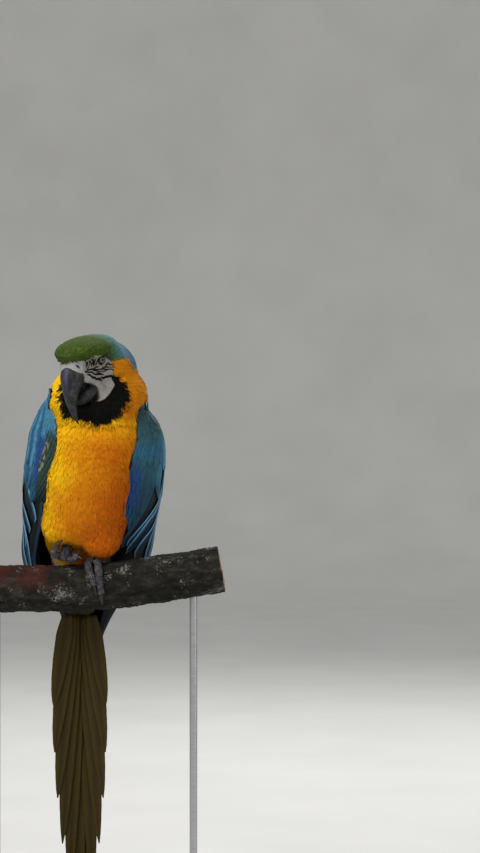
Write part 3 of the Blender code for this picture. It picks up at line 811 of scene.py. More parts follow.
def plain_vanes(surface, name, seed, slot, material, spacing, length, half, lift, columns, rows,
                spread, tone, curl=0.0):
    """Small separate feathers with round tips that lie along the skin.

    Spacing, length and half width are in millimetres, and so are the two values of lift: how far the
    root and the tip stand off the skin. spread is how unevenly the feathers point, tone how much their
    colours differ.
    """
    rng, roots, heading, lengths, path, out, along = rooted(
        surface, name, seed, 1000, spacing, length, 0.15, spread, rows)
    n = len(roots)
    t = np.linspace(0, 1, rows)
    rise = np.interp(t, [0, 0.5, 1], [lift[0], (lift[0] + lift[1]) * 0.55, lift[1]])
    rise = rise * rng.uniform(0.8, 1.2, (n, 1)) - curl * t**4
    middle = path + out * rise[..., None]
    profile = np.interp(t, [0, 0.3, 0.65, 0.88, 1.0], [0.45, 0.85, 1.0, 0.72, 0.12])
    widths = half * profile * rng.uniform(0.85, 1.15, (n, 1))
    across = unit(np.cross(along, out))
    s = np.linspace(-1, 1, columns)
    camber = -0.22 * half * s**2 * profile[:, None]
    top = middle[:, :, None] + across[:, :, None] * (widths[..., None] * s)[..., None]
    top = top + out[:, :, None] * camber[..., None]
    under = middle[:, :, None] - out[:, :, None] * 0.28
    colour = marking(roots + heading * lengths[:, None] * 0.4)
    shade = 1 + rng.normal(0, tone, (n, 1, 1, 1))
    tip = np.interp(t, [0, 0.6, 1], [0.8, 1.0, 1.12])[:, None, None]
    tint = np.clip(colour[:, None, None] * shade * tip * np.ones((columns, 1)), 0, 1)
    size = np.stack([widths.max(1), lengths], 1)
    return vanes(name, top, under, tint, material, slot, unwrap(roots), size, out=out)


def soft_tufts(surface, name, seed, slot, material, spacing, length, half, lift, blades,
               spread=0.12, tone=0.05, ruffle=0.15, broad=2.1):
    """Soft feathers whose barbs part into narrow blades, so that their tips fray.

    ruffle is how unevenly the blades stand off the skin, and broad how wide they are for their number.
    """
    rows = 4
    rng, roots, heading, lengths, path, out, along = rooted(
        surface, name, seed, 2000, spacing, length, 0.2, spread, rows)
    n = len(roots)
    across = unit(np.cross(along, out))
    t = np.linspace(0, 1, rows)
    k = np.linspace(-1, 1, blades)[:, None]
    fan = half * (0.35 + 0.65 * t**0.8) * (k + rng.normal(0, 0.12, (n, blades, 1)))
    reach = rng.uniform(0.8, 1.06, (n, blades, 1)) * (1 - 0.16 * k**2)
    rise = lift[0] + (lift[1] - lift[0]) * t**1.1
    rise = rise * rng.uniform(0.85, 1.12, (n, 1, 1)) + ruffle * t * rng.normal(0, 1, (n, blades, 1))
    rise = np.maximum(rise, 0.15)
    base = path[:, None] - along[:, None] * (lengths[:, None, None] * t * (1 - reach))[..., None]
    middle = base + across[:, None] * fan[..., None] + out[:, None] * rise[..., None]
    width = half / blades * broad * np.interp(t, [0, 0.35, 0.75, 1.0], [0.8, 1.0, 0.75, 0.15])
    width = width * rng.uniform(0.8, 1.25, (n, blades, 1))
    side = across[:, None] * width[..., None]
    top = np.stack([middle - side, middle + side], axis=3).reshape(n * blades, rows, 2, 3)
    under = (middle - out[:, None] * 0.3).reshape(n * blades, rows, 1, 3)
    colour = marking(roots + heading * lengths[:, None] * 0.45)
    shade = (1 + rng.normal(0, tone, (n, 1, 1))) * (1 + rng.normal(0, tone * 0.8, (n, blades, 1)))
    shade = shade * np.interp(t, [0, 0.5, 1], [0.94, 0.99, 1.02])
    tint = np.clip(colour[:, None, None] * shade[..., None], 0, 1)
    tint = tint.reshape(n * blades, rows, 1, 3) * np.ones((2, 1))
    size = np.stack([np.full(n, half), lengths], 1)
    place, size, facing = (np.repeat(v, blades, axis=0) for v in (unwrap(roots), size, out))
    return vanes(name, top, under, tint, material, slot, place, size, out=facing, even=0.92)


NECK_FOOT = 738  # the height where the neck's feathers give way to those of the breast and back
BREAST_FOOT = 640  # and where those of the breast give way to those of the belly
SHOULDER = 735  # below it the wings hide the skin that is further than WING_SIDE from the middle
WING_SIDE = 66


def growing(p):
    """Where on the skin the feathers of each piece of the coat grow."""
    bare, bib, crown, back = zones(p)
    bib, crown, back = bib > 0.5, crown > 0.5, back > 0.5
    f, l, u = in_head(p)
    horn = (signed_inside(HORN, f, u) > -0.5) & (np.abs(l) < 24)
    grows = (bare < 0.5) & ~horn
    x, z = np.abs(p[:, 0]), p[:, 2]
    front = grows & ~back & ~((z < SHOULDER) & (x > WING_SIDE))
    return {
        "crown_feathers": grows & crown,
        "neck_feathers": grows & ~crown & ~bib & (z > NECK_FOOT),
        "throat_feathers": grows & bib,
        "breast_feathers": front & ~crown & ~bib & (z <= NECK_FOOT) & (z > BREAST_FOOT),
        "belly_feathers": front & (z <= BREAST_FOOT),
        "back_feathers": grows & ~crown & back & (z <= NECK_FOOT) & (x < 78),
    }


def make_coat(surface):
    body = feather_material("body_plumage", 0.9, 0.03, 0.03)
    cap = feather_material("cap_plumage", 0.8, 0.06, 0.08)
    return [
        plain_vanes(
            surface, "crown_feathers", 1, "crown_feathers", cap, spacing=1.9, length=5.6, half=1.35,
            lift=(0.2, 1.8), columns=3, rows=4, spread=0.08, tone=0.1, curl=0.2,
        ),
        soft_tufts(
            surface, "neck_feathers", 2, "neck_feathers", body, spacing=3.2, length=12, half=2.8,
            lift=(0.3, 3.9), blades=4,
        ),
        soft_tufts(
            surface, "throat_feathers", 3, "neck_feathers", body, spacing=2.5, length=11, half=2.4,
            lift=(0.3, 4.6), blades=4, spread=0.22, ruffle=0.9, tone=0.3, broad=1.5,
        ),
        soft_tufts(
            surface, "breast_feathers", 4, "breast_feathers", body, spacing=4.4, length=21, half=4.8,
            lift=(0.4, 3.1), blades=7, spread=0.07, ruffle=0.05, tone=0.03,
        ),
        soft_tufts(
            surface, "belly_feathers", 5, "breast_feathers", body, spacing=4.4, length=22, half=4.8,
            lift=(0.4, 3.4), blades=7, spread=0.08, ruffle=0.08, tone=0.035,
        ),
        plain_vanes(
            surface, "back_feathers", 6, "back_feathers", cap, spacing=6.0, length=24, half=6.0,
            lift=(0.3, 3.2), columns=5, rows=6, spread=0.07, tone=0.07,
        ),
    ]


# ---- wings ------------------------------------------------------------------------------------

# Each folded wing's outer surface, by height: middle x, half width, the y of its widest line,
# how far it reaches in front of and behind that line, and the angles of its front and back edges.
WINGS = {
    1: dense([
        (400, -25, 18, 94, 5, 8, -48, 78),
        (440, -23, 25, 89, 8, 15, -50, 82),
        (490, -20, 46, 80, 14, 23, -54, 84),
        (522, -15, 67, 70, 22, 32, -59, 85),
        (560, -11, 82, 55, 30, 44, -63, 85),
        (600, -6.5, 85.5, 38, 40, 55, -59, 84),
        (640, -4, 91, 26, 50, 63, -57, 82),
        (669, -2.5, 93, 18, 56, 66, -55, 79),
        (700, -1, 92.5, 12, 56, 64, -50, 76),
        (722, 0, 88, 8, 48, 58, -46, 70),
        (738, 0, 81, 5, 38, 50, -44, 62),
        (752, 0, 70, 3, 24, 38, -40, 50),
    ]),
    -1: dense([
        (400, -25, 18, 94, 5, 8, -48, 78),
        (440, -25, 22, 89, 8, 15, -50, 82),
        (490, -24, 33, 80, 14, 23, -50, 84),
        (522, -20, 70, 70, 22, 32, -48, 85),
        (556, -12, 88.5, 56, 30, 43, -46, 85),
        (600, -6.5, 92, 38, 40, 55, -45, 84),
        (640, -4, 93.5, 26, 50, 63, -49, 82),
        (669, -2.5, 92.5, 18, 56, 66, -52, 79),
        (703, -1, 88.5, 12, 56, 64, -52, 76),
        (723, 0, 86, 8, 49, 60, -50, 70),
        (742, 0, 78, 6, 38, 52, -45, 62),
        (758, 0, 70, 4, 28, 40, -34, 52),
        (770, 0, 61, 3, 18, 28, -22, 42),
    ]),
}
WING_TOP = {1: 752, -1: 770}
FLIGHT_ROOT = 684  # the height where the long feathers start
COVERT_FOOT = 676  # about the height of the tips of the lowest small coverts


def wing_point(side, u, height, lift=0.0):
    """Points of the folded wing's outer surface: u runs from its front edge to its back edge."""
    u, height, lift = np.broadcast_arrays(np.asarray(u, float), height, lift)
    middle, half_width, y, front, back, start, end = read(WINGS[side], height)
    a = np.radians(start + (end - start) * u)
    depth = np.where(a < 0, front, back)
    x = middle + side * (half_width + lift) * np.cos(a)
    return np.stack([x, y + (depth + lift) * np.sin(a), height], axis=-1)


def wing_frame(side, u, height):
    """The wing surface's change per unit of u, towards its back edge, and its outward direction."""
    step = 0.004
    du = (wing_point(side, u + step, height) - wing_point(side, u - step, height)) / (2 * step)
    dh = wing_point(side, u, height + 1.0) - wing_point(side, u, height - 1.0)
    return du, unit(np.cross(du, dh)) * side


def relief(height):
    """How much room the feathers' layers have: less towards the thin tips."""
    return np.interp(height, [400, 470, 600, 800], [0.3, 0.45, 1.0, 1.0])


def wing_vanes(side, part, front_edge, tip, length, paint, material, slot, half, lift, rows, columns,
               slope=0.9, blunt=0.6, strips=False, pitch=0.8):
    """One or more rows of feathers on a folded wing.

    front_edge(height) gives u along each feather. The height of the tip, the length and the half width
    have one value for each. paint gives the colour. The front edge of each feather stands slope higher
    than its back edge, over the one in front of it, and its root lies pitch lower than its tip. With
    strips, each feather has a long strip of the unwrap in place of a small square.
    """
    tip = np.asarray(tip, float)
    n = len(tip)
    length, half = (np.asarray(v, float) * np.ones(n) for v in (length, half))
    t = np.linspace(0, 1, rows)
    s = np.linspace(-1, 1, columns)
    height = tip[:, None] + length[:, None] * (1 - t)
    profile = np.interp(t, [0, 0.12, 0.5, 0.8, 0.93, 1.0], [0.55, 0.8, 1.0, 0.9, blunt, 0.1])
    edge = front_edge(height)
    scale = np.linalg.norm(wing_frame(side, np.clip(edge, 0, 1), height)[0], axis=-1)
    at = edge[..., None] + (half[:, None] / scale)[..., None] * (1 + profile[:, None] * s)
    height, t = height[..., None], t[:, None]
    room = relief(height)
    layer = lift + slope * (-s) * 0.5 + pitch * (t - 1) - 0.3 * s**2
    top = wing_point(side, at, height, layer * room)
    inner = wing_point(side, at[..., 1:-1], height, (layer[..., 1:-1] - 0.35) * room)
    shaft = np.exp(-((s / 0.09) ** 2)) * 0.3
    out = wing_frame(side, np.clip(at, 0, 1), height)[1]
    top = top + out * (shaft * (1 - 0.6 * t) * room)[..., None]
    tint = np.clip(paint(np.broadcast_to(s, at.shape), np.arange(n)[:, None, None], top, at), 0, 1)
    tint_under = tint[:, :, 1:-1] * 0.3
    if side < 0:
        top, inner, tint, tint_under = (v[:, :, ::-1] for v in (top, inner, tint, tint_under))
    if strips:
        patch = 0.9 / n
        place = np.stack([(np.arange(n) + 0.5) / n, np.full(n, 0.5)], 1)
    else:
        patch = PATCH
        roots = np.clip(at[:, 0, columns // 2], 0, 1)
        place = 0.03 + 0.94 * np.stack([roots, (tip + length - 400) / 420], 1)
    obj = vanes(f"wing_{SIDES[side]}_{part}", top, inner, tint, material, slot, place,
                np.stack([half, length], 1), tint_under=tint_under, patch=patch)
    if strips:
        layer = obj.data.uv_layers["OFBake"].data
        uv = read_array(layer, "uv", 2)
        uv[:, 1] = 0.5 + (uv[:, 1] - 0.5) * 0.96 / patch
        layer.foreach_set("uv", uv.ravel())
    return obj


VIOLET = rgb(31, 64, 118)
DEEP_BLUE = rgb(38, 88, 138)
EDGE_BLUE = rgb(122, 176, 212)
WING_DARK = rgb(52, 78, 80)
INNER_BLACK = rgb(6, 9, 14)


def own_tone(feather, amount, seed):
    """A lighter or darker tone of each feather's own."""
    spot = feather[..., None] * [3.7, 9.1, 5.3]
    return (1 + amount * value_noise(spot, 1.0, seed))[..., None]


def wing_tone(side, u, z, points):
    """The markings of the wing coverts and their edge. The left wing's are darker and greener than the right
    wing's: partly the feathers' own tone and partly painted shade of the side turned from the light.
    """
    u = u + 0.012 * value_noise(points, 7, 61)
    if side > 0:
        # Painted shade in part: the left wing's colours are darker than the right's, as on the side turned
        # from the light.
        low = blend(rgb(28, 62, 82), rgb(40, 84, 98), ease(640, 690, z))
        colour = blend(low, rgb(52, 102, 124), ease(0.17, 0.24, u) * ease(640, 670, z))
        colour = blend(colour, rgb(38, 88, 118), 0.7 * ease(12, 4, np.abs(z - 696)))
        colour = blend(colour, rgb(76, 134, 160), ease(0.26, 0.34, u))
        colour = blend(colour, rgb(42, 70, 76), ease(702, 732, z) * 0.9)
        strip = ease(-0.018, 0.02, line_at(VIOLET_BACK[1], z) - u)
        strip = strip * ease(698, 660, z + 6 * value_noise(points, 8, 62))
        inner = blend(VIOLET, rgb(38, 88, 118), ease(640, 600, z))
        return blend(colour, inner, strip)
    # Lighter and darker bands about a feather wide: partly the feathers' own tone, partly painted light on
    # their edges and shade in the gaps between them.
    streak = np.sin((u - 0.15) * 2 * math.pi / 0.115)
    light = blend(rgb(34, 82, 114), rgb(72, 130, 162), ease(-0.3, 0.9, streak))
    colour = blend(light, rgb(52, 104, 138), ease(0.34, 0.5, u))
    colour = blend(colour, rgb(30, 74, 102), ease(690, 655, z) * ease(0.34, 0.26, u))
    back = ease(-0.01, 0.012, line_at(VIOLET_BACK[-1], z) - u)
    colour = blend(colour, rgb(34, 68, 122), back * ease(722, 712, z) * ease(652, 664, z))
    colour = blend(colour, rgb(58, 112, 142), back * ease(716, 730, z))
    front = ease(-0.012, 0.012, line_at(VIOLET_FRONT, z) - u) * ease(730, 715, z)
    colour = blend(colour, blend(rgb(38, 62, 56), rgb(18, 30, 32), ease(668, 630, z)), front)
    return blend(colour, rgb(16, 26, 34), ease(640, 622, z) * ease(0.2, 0.12, u))


def flight_paint(side):
    """Blue outer webs with a bright margin, and black inner webs. The outer webs darken towards the shaft,
    partly as painted shadow.
    """

    def paint(s, feather, points, u):
        web = blend(rgb(30, 76, 112), rgb(40, 88, 108), ease(600, 650, points[..., 2]))
        # The outer web darkens towards the shaft: partly its own darker web by the shaft, partly painted
        # shadow of the next feather's front edge.
        web = web * (1 - 0.45 * ease(-0.75, -0.15, s))[..., None]
        first = feather == 0
        colour = blend(web, EDGE_BLUE, ease(-0.62, -0.92, s) * 0.85 * (1 - first))
        colour = blend(colour, rgb(38, 64, 84) if side > 0 else rgb(20, 40, 52), 0.85 * first)
        inner = ease(-0.5, -0.15, s) * (0.85 if side > 0 else 0.95) * (1 - 0.75 * ease(0.42, 0.6, u))
        return blend(colour, INNER_BLACK, inner) * own_tone(feather, 0.1, 5)

    return paint


def covert_paint(side, light):
    """The wing's markings, with a faint pale margin, and dark and pale speckles on the left shoulder. Each
    covert is painted darker towards its back edge, as shade under the next one.
    """

    def paint(s, feather, points, u):
        z = points[..., 2]
        colour = wing_tone(side, u, z, points)
        if side > 0:
            speckle = value_noise(points, 4.5, 12) + 0.6 * value_noise(points, 2.0, 13)
            upper = ease(712, 734, z)
            colour = colour * (1 - 0.45 * ease(0.1, -0.6, speckle) * upper)[..., None]
            colour = blend(colour, rgb(112, 128, 116), ease(0.55, 0.9, speckle) * upper * 0.5)
        colour = blend(colour, colour * 1.35 + 0.02, ease(-0.6, -0.95, s) * light)
        # Painted shade: each covert darkens towards its back edge, which lies under the next feather.
        return colour * (1 - 0.22 * ease(0.2, 0.95, s))[..., None] * own_tone(feather, 0.07, 8)

    return paint


def edge_paint(side):
    """The wing's leading edge, with buff scallops at the bend of the right wing."""

    def paint(s, feather, points, u):
        z = points[..., 2]
        colour = wing_tone(side, u, z, points)
        if side > 0:
            return colour * own_tone(feather, 0.06, 14)
        off = np.abs(u - line_at(SCALLOPS, z) + 0.01 * value_noise(points, 5, 41))
        buff = ease(0.021, 0.011, off) * ease(714, 706, z) * ease(664, 671, z)
        fleck = ease(-0.25, 0.25, value_noise(points, 3.2, 43) + 0.5 * value_noise(points, 1.7, 44))
        dark = blend(rgb(60, 52, 34), rgb(36, 56, 48), ease(700, 680, z))
        colour = blend(colour, blend(dark, rgb(142, 138, 108), fleck), buff)
        return colour * own_tone(feather, 0.08, 14)

    return paint


def row(side, height, spacing, first=0.0, last=1.0, offset=0.0):
    """Evenly spaced u values of feathers' front edges along the wing at one height."""
    u = np.linspace(0, 1, 101)
    length = np.linalg.norm(np.diff(wing_point(side, u, height), axis=0), axis=1).sum() * (last - first)
    count = max(3, int(round(length / spacing)))
    return first + (last - first) * (np.arange(count) + 0.5 * offset) / count


def outer_feathers(tips, low, high):
    """Long feathers further back on the wing, with u at two heights of their front edges."""
    feathers = []
    for tip, below, above in zip(tips, low, high):
        foot = max(below - 0.0022 * (575 - 402), 0.1, below * 0.45)
        feathers.append((tip, [(402, foot), (575, below), (640, above), (FLIGHT_ROOT, above + 0.02)]))
    return feathers


# Each wing's long feathers: the height of the tip, then the front edge as pairs of height and u.
FLIGHT = {
    1: [
        (571, [(571, -0.02), (578, -0.005), (586, 0.01), (599, 0.05), (612, 0.09), (623, 0.12),
               (640, 0.155), (654, 0.17), (684, 0.215)]),
        (573, [(573, 0.012), (583, 0.05), (594, 0.1), (605, 0.155), (617, 0.215), (629, 0.285),
               (650, 0.33), (684, 0.36)]),
        (563, [(563, 0.02), (575, 0.065), (585, 0.105), (595, 0.145), (607, 0.2), (617, 0.265),
               (628, 0.32), (650, 0.35), (684, 0.375)]),
        (556, [(556, 0.1), (565, 0.115), (575, 0.145), (585, 0.195), (596, 0.265), (606, 0.315),
               (617, 0.34), (650, 0.38), (684, 0.4)]),
        (536, [(536, 0.23), (559, 0.245), (570, 0.25), (581, 0.265), (590, 0.3), (603, 0.34),
               (620, 0.37), (684, 0.42)]),
        (508, [(508, 0.27), (558, 0.32), (570, 0.325), (581, 0.33), (594, 0.355), (640, 0.4),
               (684, 0.445)]),
        *outer_feathers(
            (474, 446, 427, 413, 405, 402, 410),
            (0.40, 0.47, 0.54, 0.61, 0.68, 0.75, 0.82), (0.44, 0.5, 0.565, 0.63, 0.695, 0.765, 0.83),
        ),
    ],
    -1: [
        (500, [(500, 0.07), (556, 0.045), (575, 0.02), (588, 0.01), (602, -0.01), (650, 0.0), (684, 0.03)]),
        (604, [(604, 0.012), (608, 0.025), (615, 0.045), (625, 0.075), (636, 0.12), (648, 0.17),
               (660, 0.235), (672, 0.3), (684, 0.34)]),
        (590, [(590, 0.065), (593, 0.075), (599, 0.1), (607, 0.14), (617, 0.185), (625, 0.235),
               (634, 0.31), (660, 0.37), (684, 0.39)]),
        (571, [(571, 0.11), (573, 0.115), (581, 0.14), (594, 0.185), (604, 0.25), (616, 0.33),
               (640, 0.39), (684, 0.42)]),
        (532, [(532, 0.09), (555, 0.1), (570, 0.11), (585, 0.15), (600, 0.215), (616, 0.3),
               (650, 0.41), (684, 0.44)]),
        (498, [(498, 0.13), (556, 0.18), (580, 0.22), (600, 0.29), (620, 0.37), (684, 0.46)]),
        *outer_feathers(
            (468, 446, 427, 413, 405, 402, 410),
            (0.31, 0.39, 0.47, 0.55, 0.64, 0.73, 0.81), (0.45, 0.51, 0.57, 0.635, 0.7, 0.765, 0.83),
        ),
    ],
}

# Front edges of the first greater coverts, as pairs of height and u.
GREATER = {
    1: [
        [(596, 0.012), (622, 0.02), (660, 0.02), (720, 0.03)],
        [(602, 0.035), (615, 0.055), (627, 0.073), (640, 0.085), (652, 0.09), (671, 0.09), (720, 0.1)],
        [(612, 0.07), (623, 0.095), (640, 0.118), (654, 0.128), (720, 0.14)],
        [(646, 0.15), (661, 0.155), (674, 0.16), (720, 0.18)],
        [(634, 0.25), (645, 0.222), (660, 0.212), (674, 0.222), (689, 0.245), (702, 0.28), (720, 0.3)],
    ],
    -1: [
        [(640, 0.03), (660, 0.035), (690, 0.02), (720, 0.0)],
        [(632, 0.085), (660, 0.1), (680, 0.11), (720, 0.1)],
        [(646, 0.15), (661, 0.155), (693, 0.165), (720, 0.16)],
        [(654, 0.205), (680, 0.22), (720, 0.23)],
        [(652, 0.265), (680, 0.285), (720, 0.3)],
    ],
}

# Boundaries of the markings on the wings' fronts, as pairs of height and u. The first and last of
# them are on the right wing only.
VIOLET_FRONT = [(735, 0.03), (714, 0.035), (706, 0.055), (693, 0.07), (680, 0.08), (660, 0.09)]
VIOLET_BACK = {
    1: [(690, 0.03), (682, 0.045), (674, 0.065), (658, 0.07), (635, 0.062), (614, 0.05), (596, 0.035)],
    -1: [(735, 0.08), (719, 0.11), (706, 0.125), (693, 0.14), (680, 0.14), (660, 0.115)],
}
SCALLOPS = [(730, 0.0), (708, 0.03), (698, 0.045), (691, 0.058), (680, 0.066), (668, 0.075)]


def line_at(points, height):
    """A boundary's u at each height."""
    at = np.array(sorted(points))
    return np.interp(height, at[:, 0], at[:, 1])


def front_edges(lines):
    """Front edges that are given as lines, as a function of height."""
    return lambda height: np.array([line_at(line, at) for line, at in zip(lines, height)])


def leaning(u, tip, lean):
    """Front edges that start at u by the feathers' tips and lean back as they rise."""
    u, tip = np.asarray(u, float)[:, None], np.asarray(tip, float)[:, None]
    return lambda height: u + lean * (height - tip)


def wing_base(side, material):
    """The folded layers under the outer feathers, as one thin dark plate."""
    heights = np.linspace(WING_TOP[side] - 1, 404, 60)
    grid_u, grid_h = np.meshgrid(np.linspace(0.02, 0.98, 28), heights)
    room = relief(grid_h)
    thick = np.interp(grid_h, [400, 500, 655, 680, 800], [1.6, 2.0, 4.4, 7.5, 7.5])
    arch = np.sin(math.pi * np.clip(grid_u, 0.05, 0.95))
    outer = wing_point(side, grid_u, grid_h, -3.3 * room)
    inner = wing_point(side, grid_u, grid_h, -np.maximum(3.3 * room + 0.3, 1.9 + (thick - 1.9) * arch))
    tint = blend(INNER_BLACK, WING_DARK, ease(600, 720, grid_h))[None] * 0.9
    if side < 0:
        outer, inner, tint = outer[:, ::-1], inner[:, ::-1], tint[:, :, ::-1]
    return vanes(f"wing_{SIDES[side]}_base", outer[None], inner[None, :, 1:-1], tint, material,
                 "flight_feathers", np.array([[0.5, 0.5]]), np.array([[80.0, 350.0]]), patch=0.9)


def long_feathers(side, part, chosen, slot, material):
    """The flight feathers of the hand or the arm."""
    tips = np.array([tip for tip, _ in chosen], float)
    edges = front_edges([line for _, line in chosen])
    return wing_vanes(
        side, part + "_vanes", edges, tips, FLIGHT_ROOT - tips, flight_paint(side), material, slot,
        half=9.5, lift=-0.9, rows=30, columns=13, strips=True, slope=1.5, blunt=0.72, pitch=0.9,
    )


def greater_coverts(side, material):
    """The coverts over the roots of the long feathers."""
    lines = list(GREATER[side])
    for u in np.linspace(0.34, 0.9, 9):
        tip = 646 - 22 * u + 3 * math.sin(u * 40)
        lines.append([(tip, u), (720, u + 0.06)])
    tips = np.array([line[0][0] for line in lines], float)
    return wing_vanes(
        side, "greater_coverts", front_edges(lines), tips, np.minimum(84, 716 - tips),
        covert_paint(side, 0.35), material, "wing_coverts", half=7.6, lift=-0.5, rows=16, columns=9,
        strips=True,
    )


def small_coverts(side, material):
    """Median and lesser coverts: rows of feathers that get shorter and closer up to the shoulder."""
    top = WING_TOP[side]
    narrower, shorter, closer, margin = (4.5, 28, 10, 9) if side > 0 else (1.5, 12, 3, 4)
    feathers = []
    height, index = float(COVERT_FOOT), 0
    while height < top - margin:
        k = min(1.0, (height - COVERT_FOOT) / 55)
        spacing = 10.5 - narrower * k
        length = min((44 if side > 0 else 56) - shorter * k, top + 5 - height)
        for u in row(side, min(height + 8, top), spacing, 0.02, 0.96, index % 2):
            feathers.append((u, height + 5.0 * np.sin(u * 37 + index * 1.7), length, spacing * 0.7))
        height += 17 - closer * k
        index += 1
    u, tips, lengths, halves = np.array(feathers).T
    return wing_vanes(
        side, "small_coverts", leaning(u, tips, 0.0009), tips, lengths, covert_paint(side, 0.3),
        material, "wing_coverts", half=halves, lift=0.0, rows=8, columns=5, slope=0.4,
    )


def edge_feathers(side, material):
    """The leading edge: small feathers down the front of the hand."""
    us, tips = [], []
    if side > 0:
        for index, height in enumerate(np.arange(712, 590, -15.0)):
            us.append(np.array([-0.045, -0.015, 0.015, 0.04]) + 0.012 * (index % 2))
            tips.append(height + 5 * np.array([0, 1, 0.4, 1.4]))
        length, half, rows = 42.0, 4.0, 8
    else:
        for index, height in enumerate(np.arange(736, 628, -6.5)):
            us.append(np.arange(-0.06, 0.11, 0.03) + 0.015 * (index % 2))
            tips.append(height + 1.5 * np.sin(us[-1] * 60))
        length, half, rows = 17.0, 3.3, 6
    us, tips = np.concatenate(us), np.concatenate(tips)
    return wing_vanes(
        side, "edge_feathers", leaning(us, tips, 0.0004), tips, length, edge_paint(side), material,
        "wing_coverts", half=half, lift=0.4, rows=rows, columns=5, slope=0.35,
    )


def make_wing(side, coverts, flight):
    base = wing_base(side, flight)
    primaries = long_feathers(side, "primaries", FLIGHT[side][6:], "flight_feathers", flight)
    secondaries = long_feathers(side, "secondaries", FLIGHT[side][:6], "wing_coverts", flight)
    greater = greater_coverts(side, coverts)
    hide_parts(f"wing_{SIDES[side]}_primaries")
    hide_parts(f"wing_{SIDES[side]}_secondaries")
    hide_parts(f"wing_{SIDES[side]}_coverts")
    small, edge = small_coverts(side, coverts), edge_feathers(side, coverts)
    return [base, primaries, secondaries, greater, small, edge]


# ---- tail -------------------------------------------------------------------------------------

TAIL_ROOT = np.array([-25.0, 82.0, 479.4])
TAIL_LEAN = math.radians(4.0)
TAIL_LONGEST = 434
TAIL_STEP = 62  # how much shorter each pair is than the one inside it
TAIL_HALF_WIDTH = 13
TAIL_ARCH = 3.0
TAIL_SPACING = 1.3  # how far each feather lies from the next, front to back
TAIL_FAN = math.radians(1.6)
# The tail's golden olive, painted dark: painted shade cast by the perch.
TAIL_GOLD_IN_SHADE = rgb(66, 52, 10)
TAIL_OLIVE_IN_SHADE = rgb(33, 28, 6)


def make_tail(material):
    """Six pairs of graduated feathers: golden olive in front, painted dark as the shade the perch casts on
    them, blue behind.
    """
    made = []
    down = np.linspace(0, 1, 40)[:, None] ** 0.85
    s = np.linspace(-1, 1, 9)[None]
    ridge = 0.35 * np.exp(-((s / 0.1) ** 2)) * (1 - 0.7 * down)
    shaft = ease(0.14, 0.03, np.abs(s))
    taper = np.maximum(1 - down**3.2, 0.02) ** 0.7 * (0.62 + 0.38 * np.minimum(1, down * 5))
    for pair, side in itertools.product(range(6), SIDES):
        length = TAIL_LONGEST - TAIL_STEP * pair
        fan = side * TAIL_FAN * (pair + 0.3)
        wobble = 1 + 0.012 * np.sin(down * 97 + pair) + 0.01 * np.sin(down * 231)
        x = (TAIL_HALF_WIDTH - 0.35 * pair) * taper * s * wobble
        y = length * down
        out = side * (1.0 + pair + 0.4 * pair * pair) + x * math.cos(fan) + y * math.sin(fan)
        depth = -TAIL_ARCH * (out / 30) ** 2 - TAIL_SPACING * (2 * pair + (side < 0))

        def sheet(offset):
            z = np.broadcast_to(TAIL_ROOT[2] - y * math.cos(fan) * math.cos(TAIL_LEAN), out.shape)
            back = TAIL_ROOT[1] + depth + y * math.sin(TAIL_LEAN) + offset * (0.32 + ridge)
            return np.stack([TAIL_ROOT[0] + out, back, z], axis=-1)

        front, behind = sheet(-1.0), sheet(1.0)[:, 1:-1]
        streak = 0.1 * value_noise(front * [1, 1, 0.1], 4, pair)
        # Painted shade: the gold and olive are darkened as in the perch's shade.
        gold_in_shade = blend(TAIL_OLIVE_IN_SHADE, TAIL_GOLD_IN_SHADE, np.clip(0.35 + 0.5 * np.abs(s) + streak, 0, 1))
        gold_in_shade = blend(gold_in_shade, rgb(40, 30, 14), shaft * 0.7)
        blue = blend(blend(DEEP_BLUE, VIOLET, 0.4), INNER_BLACK, shaft * 0.6)
        blue = np.broadcast_to(blue, gold_in_shade.shape)[:, 1:-1]
        front, behind, gold_in_shade, blue = (v[None, :, ::-1] for v in (front, behind, gold_in_shade, blue))
        obj = vanes(
            f"tail_vane_{SIDES[side]}_{pair + 1}", front, behind, gold_in_shade, material, "tail_feathers",
            np.array([[0.5, 0.5]]), np.array([[TAIL_HALF_WIDTH, length]]), tint_under=blue, patch=0.95,
        )
        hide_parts(f"tail_feather_{SIDES[side]}_{pair + 1}")
        made.append(obj)
    return made


# ---- bill -------------------------------------------------------------------------------------

# Side outlines in the head's frame, as forward and up: ridge and cutting edge of each half of the bill.
CULMEN = [(43, 3.5), (58.5, -1), (66, -46.5), (38.5, -75.3)]
UPPER_EDGE = [(23, -20), (34.5, -26), (49, -48), (37.8, -74.3)]
LOWER_EDGE = [(12, -25), (22, -27.5), (32, -33.5), (38, -41.5)]
LOWER_KEEL = [(9, -44), (19, -54.5), (33, -56), (39.5, -45)]
UPPER_WIDTH = [(-0.3, 15), (0, 17.1), (0.2, 15.6), (0.5, 10.0), (0.75, 5.3), (0.92, 2.4), (1, 0.9)]
LOWER_WIDTH = [(-0.3, 15), (0, 18), (0.4, 17.2), (0.7, 13), (0.9, 9), (1, 6)]
UPPER_NARROWS = 0.6  # how much of its width the upper half loses towards the ridge
LOWER_NARROWS = 0.34
BILL_ROOT = -0.18  # where each half of the bill starts, on a scale where its curves run from 0 to 1


def bezier(points, t):
    a, b, c, d = (np.array(p, float) for p in points)
    t = np.asarray(t, float)[:, None]
    s = 1 - t
    return a * s**3 + b * 3 * s * s * t + c * 3 * s * t * t + d * t**3


def bill_profile(ridge, edge, t):
    """Middle and half depth of half a bill, t along it, both as forward and up."""
    flat = np.maximum(t, 0).ravel()
    r, e = (bezier(line, flat).reshape(*np.shape(t), 2) for line in (ridge, edge))
    middle = (r + e) / 2
    middle[..., 0] += np.where(t < 0, -12 * t / BILL_ROOT, 0)
    return middle, (r - e) / 2


